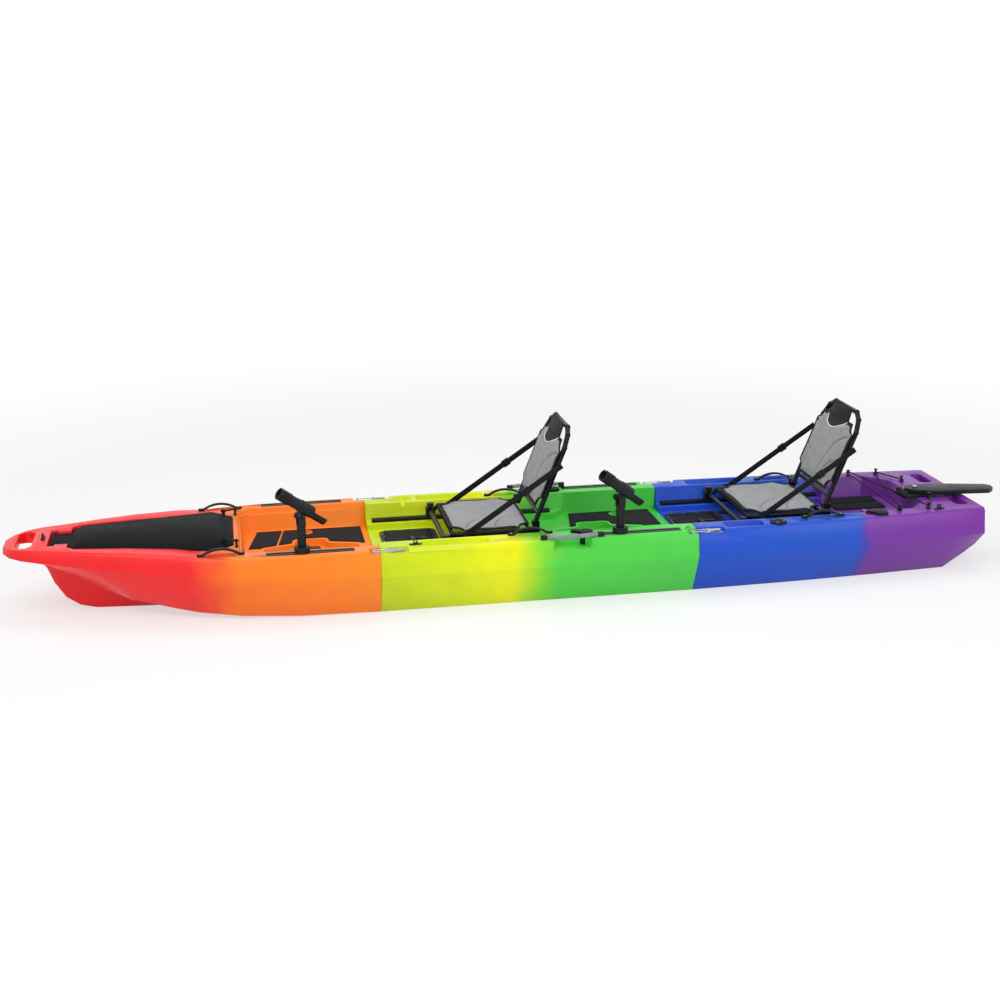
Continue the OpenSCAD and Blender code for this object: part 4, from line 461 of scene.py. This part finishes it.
# %% Pad layout
HINGE_X, HINGE_Z = 0.112, 0.300          # the front seat's fold axis
SEAT_STEP = 1.300                        # from the front seat to the rear one
LEAN = math.radians(22)
PAD_BASE = 0.0113                        # from a tube's axis to the pad's flat side
PAN = {"l": 0.338, "w": 0.231, "r0": 0.056, "r1": 0.050}
BACK = {"l": 0.307, "w": 0.205, "r0": 0.042, "r1": 0.048}
HEAD = {"l": 0.054, "w": 0.098, "w1": 0.112}
HEAD_LAP = 0.007                         # how far the head panel's cloth runs on, down to the back pad
CREST_DEPTH, CREST_HALF = 0.052, 0.114   # the black cloth's curved lower edge on the back pad
DRAW_IN = 0.006
pan_place = Matrix.Translation((HINGE_X - 0.362, 0, HINGE_Z - 0.022 + PAD_BASE))
upright = Matrix(((0, 0, -1, -PAD_BASE), (0, 1, 0, 0), (-1, 0, 0, 0), (0, 0, 0, 1)))
on_back = Matrix.Translation((HINGE_X, 0, HINGE_Z)) @ Matrix.Rotation(LEAN, 4, "Y") @ upright
back_place = on_back @ Matrix.Translation((-0.371, 0, 0))
head_place = on_back @ Matrix.Translation((-0.429, 0, 0))


def half_at(pad, t):
    """Half width of a pad at t: round cut-outs at its corners, and sides drawn in between them."""
    if "w1" in pad:
        return pad["w"] + (pad["w1"] - pad["w"]) * t / pad["l"]
    cut = sum(math.sqrt(max(0.0, r * r - d * d)) for r, d in ((pad["r0"], t), (pad["r1"], pad["l"] - t)))
    return pad["w"] - cut - DRAW_IN * math.sin(math.pi * t / pad["l"])


def outline(pad, steps=60):
    """Points round the edge of a pad, in its flat layout."""
    ts = [pad["l"] * k / steps for k in range(steps + 1)]
    side = [(t, half_at(pad, t)) for t in ts]
    across = [1 - 2 * k / 12 for k in range(1, 12)]
    return side + [(ts[-1], side[-1][1] * c) for c in across] + [(t, -h) for t, h in side[::-1]] + [
        (0.0, -side[0][1] * c) for c in across]


ARCS = ((0.82, 0.84), (0.45, 0.70))      # each stitched arc's radii, as shares of the pad's length and half width


def seam_off(pad, t, y):
    """Distance from the nearest stitched arc, nearly."""
    back, out = pad["l"] - t, pad["w"] - abs(y)
    return min(abs(math.hypot(back / (pad["l"] * a), out / (pad["w"] * b)) - 1) * pad["w"] * b for a, b in ARCS)


def crest_in(t, y):
    """How far a point of the back pad is inside the black cloth at its top."""
    return CREST_DEPTH * (1 - (y / CREST_HALF) ** 2) - t


print("pad outlines:", len(outline(PAN)), len(outline(BACK)), len(outline(HEAD)), "points")

# %% [markdown]
# The cloth step follows a plain recipe: even faces of 4 mm, pressure, no gravity, twenty frames, the flat
# side held, and no point moved more than a few millimetres, so that the pad keeps clear of the frame.

# %% Pad sewing
VOXEL, PRESSURE, FRAMES, MOST = 0.004, 4.0, 20, 0.005
SEAM_DEPTH, SEAM_HALF = 0.0042, 0.0075


def applied(obj):
    """The object's mesh with its modifiers applied."""
    mesh = bpy.data.meshes.new_from_object(obj.evaluated_get(bpy.context.evaluated_depsgraph_get()))
    obj.modifiers.clear()
    obj.data = mesh
    return mesh


def fill(obj):
    """Blows the pad up as cloth, its flat side held."""
    rest = np.array([v.co[:] for v in obj.data.vertices])
    held = obj.vertex_groups.new(name="held")
    held.add([int(k) for k in np.where(rest[:, 2] < 0.0012)[0]], 1.0, "REPLACE")
    cloth = obj.modifiers.new("cloth", "CLOTH")
    cloth.settings.quality = 5
    cloth.settings.mass = 0.25
    cloth.settings.tension_stiffness = cloth.settings.compression_stiffness = 20
    cloth.settings.shear_stiffness = 8
    cloth.settings.bending_stiffness = 0.6
    cloth.settings.use_pressure = True
    cloth.settings.uniform_pressure_force = PRESSURE
    cloth.settings.vertex_group_mass = "held"
    cloth.settings.effector_weights.gravity = 0.0
    cloth.collision_settings.use_collision = False
    cloth.point_cache.frame_end = FRAMES
    for f in range(1, FRAMES + 1):
        scene.frame_set(f)
    swollen = applied(obj)
    scene.frame_set(1)
    moved = np.array([v.co[:] for v in swollen.vertices]) - rest
    far = np.linalg.norm(moved, axis=1, keepdims=True)
    moved *= np.minimum(1.0, MOST / np.maximum(far, 1e-9))
    for v, p in zip(swollen.vertices, rest + moved):
        v.co = (p[0], p[1], max(p[2], 0.0))
    obj.vertex_groups.clear()
    return float(far.max())


def sewn(name, pad, node, place, stitched, lap=0.0):
    """A pad in its flat layout: rebuilt, filled, subdivided, its arcs pressed in, its edge distance and UV map noted.
    lap is how far the pad is drawn out at its lower end."""
    bm = bmesh.new()
    bm.from_mesh(nodes[node].data)
    bmesh.ops.remove_doubles(bm, verts=bm.verts, dist=2e-5)
    bmesh.ops.transform(bm, matrix=place.inverted(), verts=bm.verts)
    others = [v for v in bm.verts if not -0.002 < v.co.x < pad["l"] + 0.002]
    bmesh.ops.delete(bm, geom=others, context="VERTS")
    bmesh.ops.scale(bm, vec=(1 + lap / pad["l"], 1, 1), verts=bm.verts)
    bmesh.ops.recalc_face_normals(bm, faces=bm.faces)
    mesh = bpy.data.meshes.new(name)
    bm.to_mesh(mesh)
    bm.free()
    obj = bpy.data.objects.new(name, mesh)
    scene.collection.objects.link(obj)
    remesh = obj.modifiers.new("even", "REMESH")
    remesh.mode = "VOXEL"
    remesh.voxel_size = VOXEL
    applied(obj)
    swell = fill(obj)
    sub = obj.modifiers.new("fine", "SUBSURF")
    sub.levels = sub.render_levels = 1
    mesh = applied(obj)
    rim = mesh.attributes.new("rim", "FLOAT", "POINT")
    crest = mesh.attributes.new("crest", "FLOAT", "POINT")
    for v in mesh.vertices:
        t, y = v.co.x, v.co.y
        rim.data[v.index].value = max(0.0, min(half_at(pad, min(max(t, 0), pad["l"])) - abs(y), t, pad["l"] - t))
        crest.data[v.index].value = crest_in(t, y) if pad is BACK else -1.0
        if stitched and v.co.z > 0.004:
            off = seam_off(pad, t, y)
            if off < SEAM_HALF:
                v.co.z = max(0.004, v.co.z - SEAM_DEPTH * (1 + math.cos(math.pi * off / SEAM_HALF)) / 2)
    uv = mesh.uv_layers.new(name="UVMap")
    for loop in mesh.loops:
        uv.data[loop.index].uv = mesh.vertices[loop.vertex_index].co.xy
    mesh.shade_smooth()
    print(name, len(mesh.polygons), "faces, swelled", round(1000 * swell, 1), "mm before the cap")
    return obj


flat_pan = sewn("pan", PAN, "front_seat_pan_pad", pan_place, True)
flat_back = sewn("back", BACK, "front_seat_back_pad", back_place, True)
flat_head = sewn("head", HEAD, "front_seat_back_pad", head_place, False, HEAD_LAP)

# %% [markdown]
# Trim: a bound edge runs round each pad, a white piping follows the curve where the mesh meets the black
# head cloth, and a thread lies in each stitched arc. They are round lines laid on the pad and carried with
# it to both seats.

# %% Pads and trim placed
def piping_line(obj):
    """Points along the lower edge of the black cloth, on the back pad's surface."""
    tree = BVHTree.FromObject(obj, bpy.context.evaluated_depsgraph_get())
    ys = [CREST_HALF * (k / 30 - 1) for k in range(61)]
    hits = [tree.ray_cast(Vector((crest_in(0.0, y), y, 0.1)), Vector((0, 0, -1)))[0] for y in ys]
    return [p for p in hits if p]


def thread_lines(pad, obj):
    """Points along each stitched arc, on the pad's surface."""
    tree = BVHTree.FromObject(obj, bpy.context.evaluated_depsgraph_get())
    lines = []
    for a, b in ARCS:
        for sign in (-1, 1):
            line = []
            for k in range(61):
                turn = math.pi / 2 * k / 60
                t = pad["l"] * (1 - a * math.cos(turn))
                y = pad["w"] * (1 - b * math.sin(turn))
                hidden = pad is BACK and crest_in(t, y) > 0
                if 0.006 < t < pad["l"] - 0.004 and y < half_at(pad, t) - 0.004 and not hidden:
                    hit = tree.ray_cast(Vector((t, sign * y, 0.1)), Vector((0, 0, -1)))[0]
                    if hit:
                        line.append(hit)
            if len(line) > 4:
                lines.append(line)
    return lines


def seat_piece(flat, name, place, material, body):
    """A piece of the flat layout, copied to its place."""
    mesh = bpy.data.meshes.new_from_object(flat.evaluated_get(bpy.context.evaluated_depsgraph_get()))
    mesh.transform(place)
    if place.determinant() < 0:
        mesh.flip_normals()
    mesh.name = name
    mesh.materials.clear()
    mesh.materials.append(material)
    mesh.shade_smooth()
    obj = bpy.data.objects.new(name, mesh)
    scene.collection.objects.link(obj)
    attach(obj, body)
    return obj


TAPE_R, PIPING_R, THREAD_R, EDGE_Z = 0.0034, 0.0026, 0.0008, 0.0045
scratch = [flat_pan, flat_back, flat_head]
layers = []
for part, pad, flat, place, cloth, trim, radius in (
        ("pan", PAN, flat_pan, pan_place, spacer_mesh, webbing, TAPE_R),
        ("back", BACK, flat_back, back_place, spacer_mesh, webbing, TAPE_R),
        ("head", HEAD, flat_head, head_place, head_cloth, webbing, TAPE_R)):
    edge = round_line(part + "_edge", [(t, y, EDGE_Z) for t, y in outline(pad)], radius, closed=True)
    seams = [(round_line("%s_seam_%d" % (part, k), line, THREAD_R), thread)
             for k, line in enumerate(thread_lines(pad, flat) if part != "head" else [])]
    if part == "back":
        seams.append((round_line("back_piping", piping_line(flat), PIPING_R), piping_cloth))
    scratch += [edge] + [seam for seam, _ in seams]
    layers.append((part, flat, place, cloth, edge, trim, seams))
for seat, shift in (("front", 0.0), ("rear", SEAT_STEP)):
    for part, flat, place, cloth, edge, trim, seams in layers:
        body = seat + ("_seat" if part == "pan" else "_seat_backrest")
        node = seat + ("_seat_pan_pad" if part == "pan" else "_seat_back_pad")
        there = Matrix.Translation((shift, 0, 0)) @ place
        pad = seat_piece(flat, "%s_%s_pad" % (seat, part), there, cloth, body)
        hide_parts(node)
        seat_piece(edge, "%s_%s_edge" % (seat, part), there, trim, body)
        for k, (seam, material) in enumerate(seams):
            seat_piece(seam, "%s_%s_seam_%d" % (seat, part, k), there, material, body)
for obj in scratch:
    bpy.data.objects.remove(obj)

# %% [markdown]
# ## Seat straps
# A webbing strap holds each side of the backrest to the seat's base, tightened by a ladder-lock buckle. The
# strap is a long flat box, subdivided and bevelled. Strap and buckle are set in the open seat's pose and ride
# on no body.

# %% Straps and buckles
STRAP_W, STRAP_T, STRAP_Y, STRAP_END = 0.025, 0.0025, 0.246, 0.006
# from the fold axis: X and Z of the strap's foot, and how far up the back it is held
STRAP_LOW, STRAP_UP = (-0.310, -0.022), 0.276
BUCKLE_AT, BUCKLE = 0.64, (0.034, 0.010, 0.033)
SLOT = (0.006, 0.026)


def flat_box(size, cuts, bevel):
    """A box centred on the origin, cut across its length and bevelled, with its UV map in metres."""
    bm = bmesh.new()
    bmesh.ops.create_cube(bm, size=1.0)
    bmesh.ops.scale(bm, vec=size, verts=bm.verts)
    if cuts:
        long_edges = [e for e in bm.edges if abs(e.verts[0].co.x - e.verts[1].co.x) > size[0] / 2]
        bmesh.ops.subdivide_edges(bm, edges=long_edges, cuts=cuts, use_grid_fill=True)
    ends = [e for e in bm.edges if e.calc_face_angle(0) > 1.0]
    bmesh.ops.bevel(bm, geom=ends, offset=bevel, offset_type="OFFSET", segments=2, profile=0.5, affect="EDGES",
                    clamp_overlap=True, material=-1)
    uv = bm.loops.layers.uv.new("UVMap")
    for face in bm.faces:
        for loop in face.loops:
            loop[uv].uv = (loop.vert.co.x, loop.vert.co.z)
    return bm


def ladder_lock():
    """A buckle: a bevelled plate with two slots through it."""
    bm = flat_box(BUCKLE, 0, 0.0015)
    for x in (-BUCKLE[0] / 4, BUCKLE[0] / 4):
        hole = bmesh.new()
        bmesh.ops.create_cube(hole, size=1.0)
        bmesh.ops.scale(hole, vec=(SLOT[0], 2 * BUCKLE[1], SLOT[1]), verts=hole.verts)
        bmesh.ops.translate(hole, vec=(x, 0, 0), verts=hole.verts)
        cutter = bpy.data.meshes.new("slot")
        hole.to_mesh(cutter)
        hole.free()
        body = bpy.data.meshes.new("plate")
        bm.to_mesh(body)
        bm.free()
        plate = bpy.data.objects.new("plate", body)
        tool = bpy.data.objects.new("slot", cutter)
        scene.collection.objects.link(plate)
        scene.collection.objects.link(tool)
        cut = plate.modifiers.new("cut", "BOOLEAN")
        cut.object = tool
        cut.operation = "DIFFERENCE"
        cut.solver = "EXACT"
        bm = bmesh.new()
        bm.from_mesh(applied(plate))
        bpy.data.objects.remove(plate)
        bpy.data.objects.remove(tool)
    return bm


strap_lengths = []
for seat, shift in (("front", 0.0), ("rear", SEAT_STEP)):
    for side, sign in (("port", -1), ("starboard", 1)):
        foot = Vector((HINGE_X + shift + STRAP_LOW[0], sign * STRAP_Y, HINGE_Z + STRAP_LOW[1]))
        rise = Vector((math.sin(LEAN), 0, math.cos(LEAN))) * STRAP_UP
        head = Vector((HINGE_X + shift + rise.x, sign * STRAP_Y, HINGE_Z + rise.z))
        way = (head - foot).normalized()
        frame_of = Matrix((way, Vector((0, 1, 0)), way.cross(Vector((0, 1, 0))))).transposed().to_4x4()
        length = (head - foot).length + 2 * STRAP_END
        for name, make, at, material, slot in (
                ("strap", lambda: flat_box((length, STRAP_T, STRAP_W), 24, 0.0006), 0.5, webbing, "webbing"),
                ("buckle", ladder_lock, BUCKLE_AT, black_nylon, "black_plastic")):
            bm = make()
            frame_of.translation = foot + (head - foot) * at
            bmesh.ops.transform(bm, matrix=frame_of, verts=bm.verts)
            bmesh.ops.recalc_face_normals(bm, faces=bm.faces)
            piece = finished(bm, "%s_%s_%s" % (seat, name, side), material, None)
            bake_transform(piece)
            if name == "strap":
                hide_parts(seat + "_seat_straps")
        strap_lengths.append(round(length, 4))
print("strap lengths", strap_lengths, "m")

# %% [markdown]
# ## Studio
# A pale floor, a white surround and three large soft lamps. The surround shows white to the camera and in
# reflections, and lights the boat at a plain level, so colours come out about as they are written. The
# floor keeps the boat's shadow and fades to the same white a few metres away, so that no horizon shows.

# %% Studio
FLOOR_LIFT = 0.6         # share of plain white that the camera sees in the floor near the boat
FLOOR_HALF = 30.0
FADE_NEAR, FADE_FAR = 2.4, 5.5


def soft_lamp(name, place, size, power):
    """A large area lamp that faces the boat."""
    lamp = bpy.data.lights.new(name, "AREA")
    lamp.shape = "RECTANGLE"
    lamp.size, lamp.size_y = size
    lamp.energy = power
    obj = bpy.data.objects.new(name, lamp)
    obj.location = place
    obj.rotation_euler = (Vector((0, 0, 0.2)) - Vector(place)).to_track_quat("-Z", "Y").to_euler()
    scene.collection.objects.link(obj)


def shown(mat):
    """1 for a ray from the camera, a reflection or a clear piece, otherwise 0."""
    ray = add(mat, "LightPath").outputs
    seen = add(mat, "Math", {0: ray["Is Camera Ray"], 1: ray["Is Glossy Ray"]}, operation="MAXIMUM").outputs["Value"]
    return add(mat, "Math", {0: seen, 1: ray["Is Transmission Ray"]}, operation="MAXIMUM").outputs["Value"]


def fading_floor(name, color, near, far):
    """A pale floor that keeps the boat's shadow, and away from the boat turns to plain white."""
    mat, here = blank(name)
    grain = add(mat, "TexNoise", {"Vector": here, "Scale": 1000 / 30, "Detail": 2.0}).outputs["Fac"]
    rough = add(mat, "MapRange", {"Value": grain, "To Min": 0.85, "To Max": 0.95}).outputs["Result"]
    paint = add(mat, "BsdfPrincipled", {"Base Color": linear(color), "Roughness": rough, "Specular IOR Level": 0.1})
    away = add(mat, "VectorMath", {0: here}, operation="LENGTH").outputs["Value"]
    fade = add(mat, "MapRange", {
        "Value": away, "From Min": near, "From Max": far, "To Min": FLOOR_LIFT, "To Max": 1.0},
        interpolation_type="SMOOTHSTEP").outputs["Result"]
    part = add(mat, "Math", {0: fade, 1: shown(mat)}, operation="MULTIPLY").outputs["Value"]
    white = add(mat, "Emission", {"Color": (1, 1, 1, 1), "Strength": 1.0}).outputs["Emission"]
    both = add(mat, "MixShader", {0: part, 1: paint.outputs["BSDF"], 2: white})
    add(mat, "OutputMaterial", {"Surface": both.outputs["Shader"]})
    return mat


soft_lamp("key", (-2.6, -3.4, 4.6), (4.0, 3.0), 125)
soft_lamp("top", (0.4, 0.6, 5.2), (5.5, 3.0), 95)
soft_lamp("fill", (3.4, -3.6, 2.4), (3.0, 2.0), 45)
bm = bmesh.new()
bmesh.ops.create_grid(bm, x_segments=1, y_segments=1, size=FLOOR_HALF)
floor_mesh = bpy.data.meshes.new("floor")
bm.to_mesh(floor_mesh)
bm.free()
floor = bpy.data.objects.new("floor", floor_mesh)
scene.collection.objects.link(floor)
floor_mesh.materials.append(fading_floor("pale_floor", "#F6F6F6", FADE_NEAR, FADE_FAR))
world = bpy.data.worlds.new("surround")
scene.world = world
world.use_nodes = True
world.node_tree.nodes.clear()
level = add(world, "MapRange", {"Value": shown(world), "To Min": 0.5, "To Max": 1.0})
sky = add(world, "Background", {"Color": (1, 1, 1, 1), "Strength": level.outputs["Result"]})
add(world, "OutputWorld", {"Surface": sky.outputs["Background"]})
scene.view_settings.view_transform = "Standard"
print("studio ready")
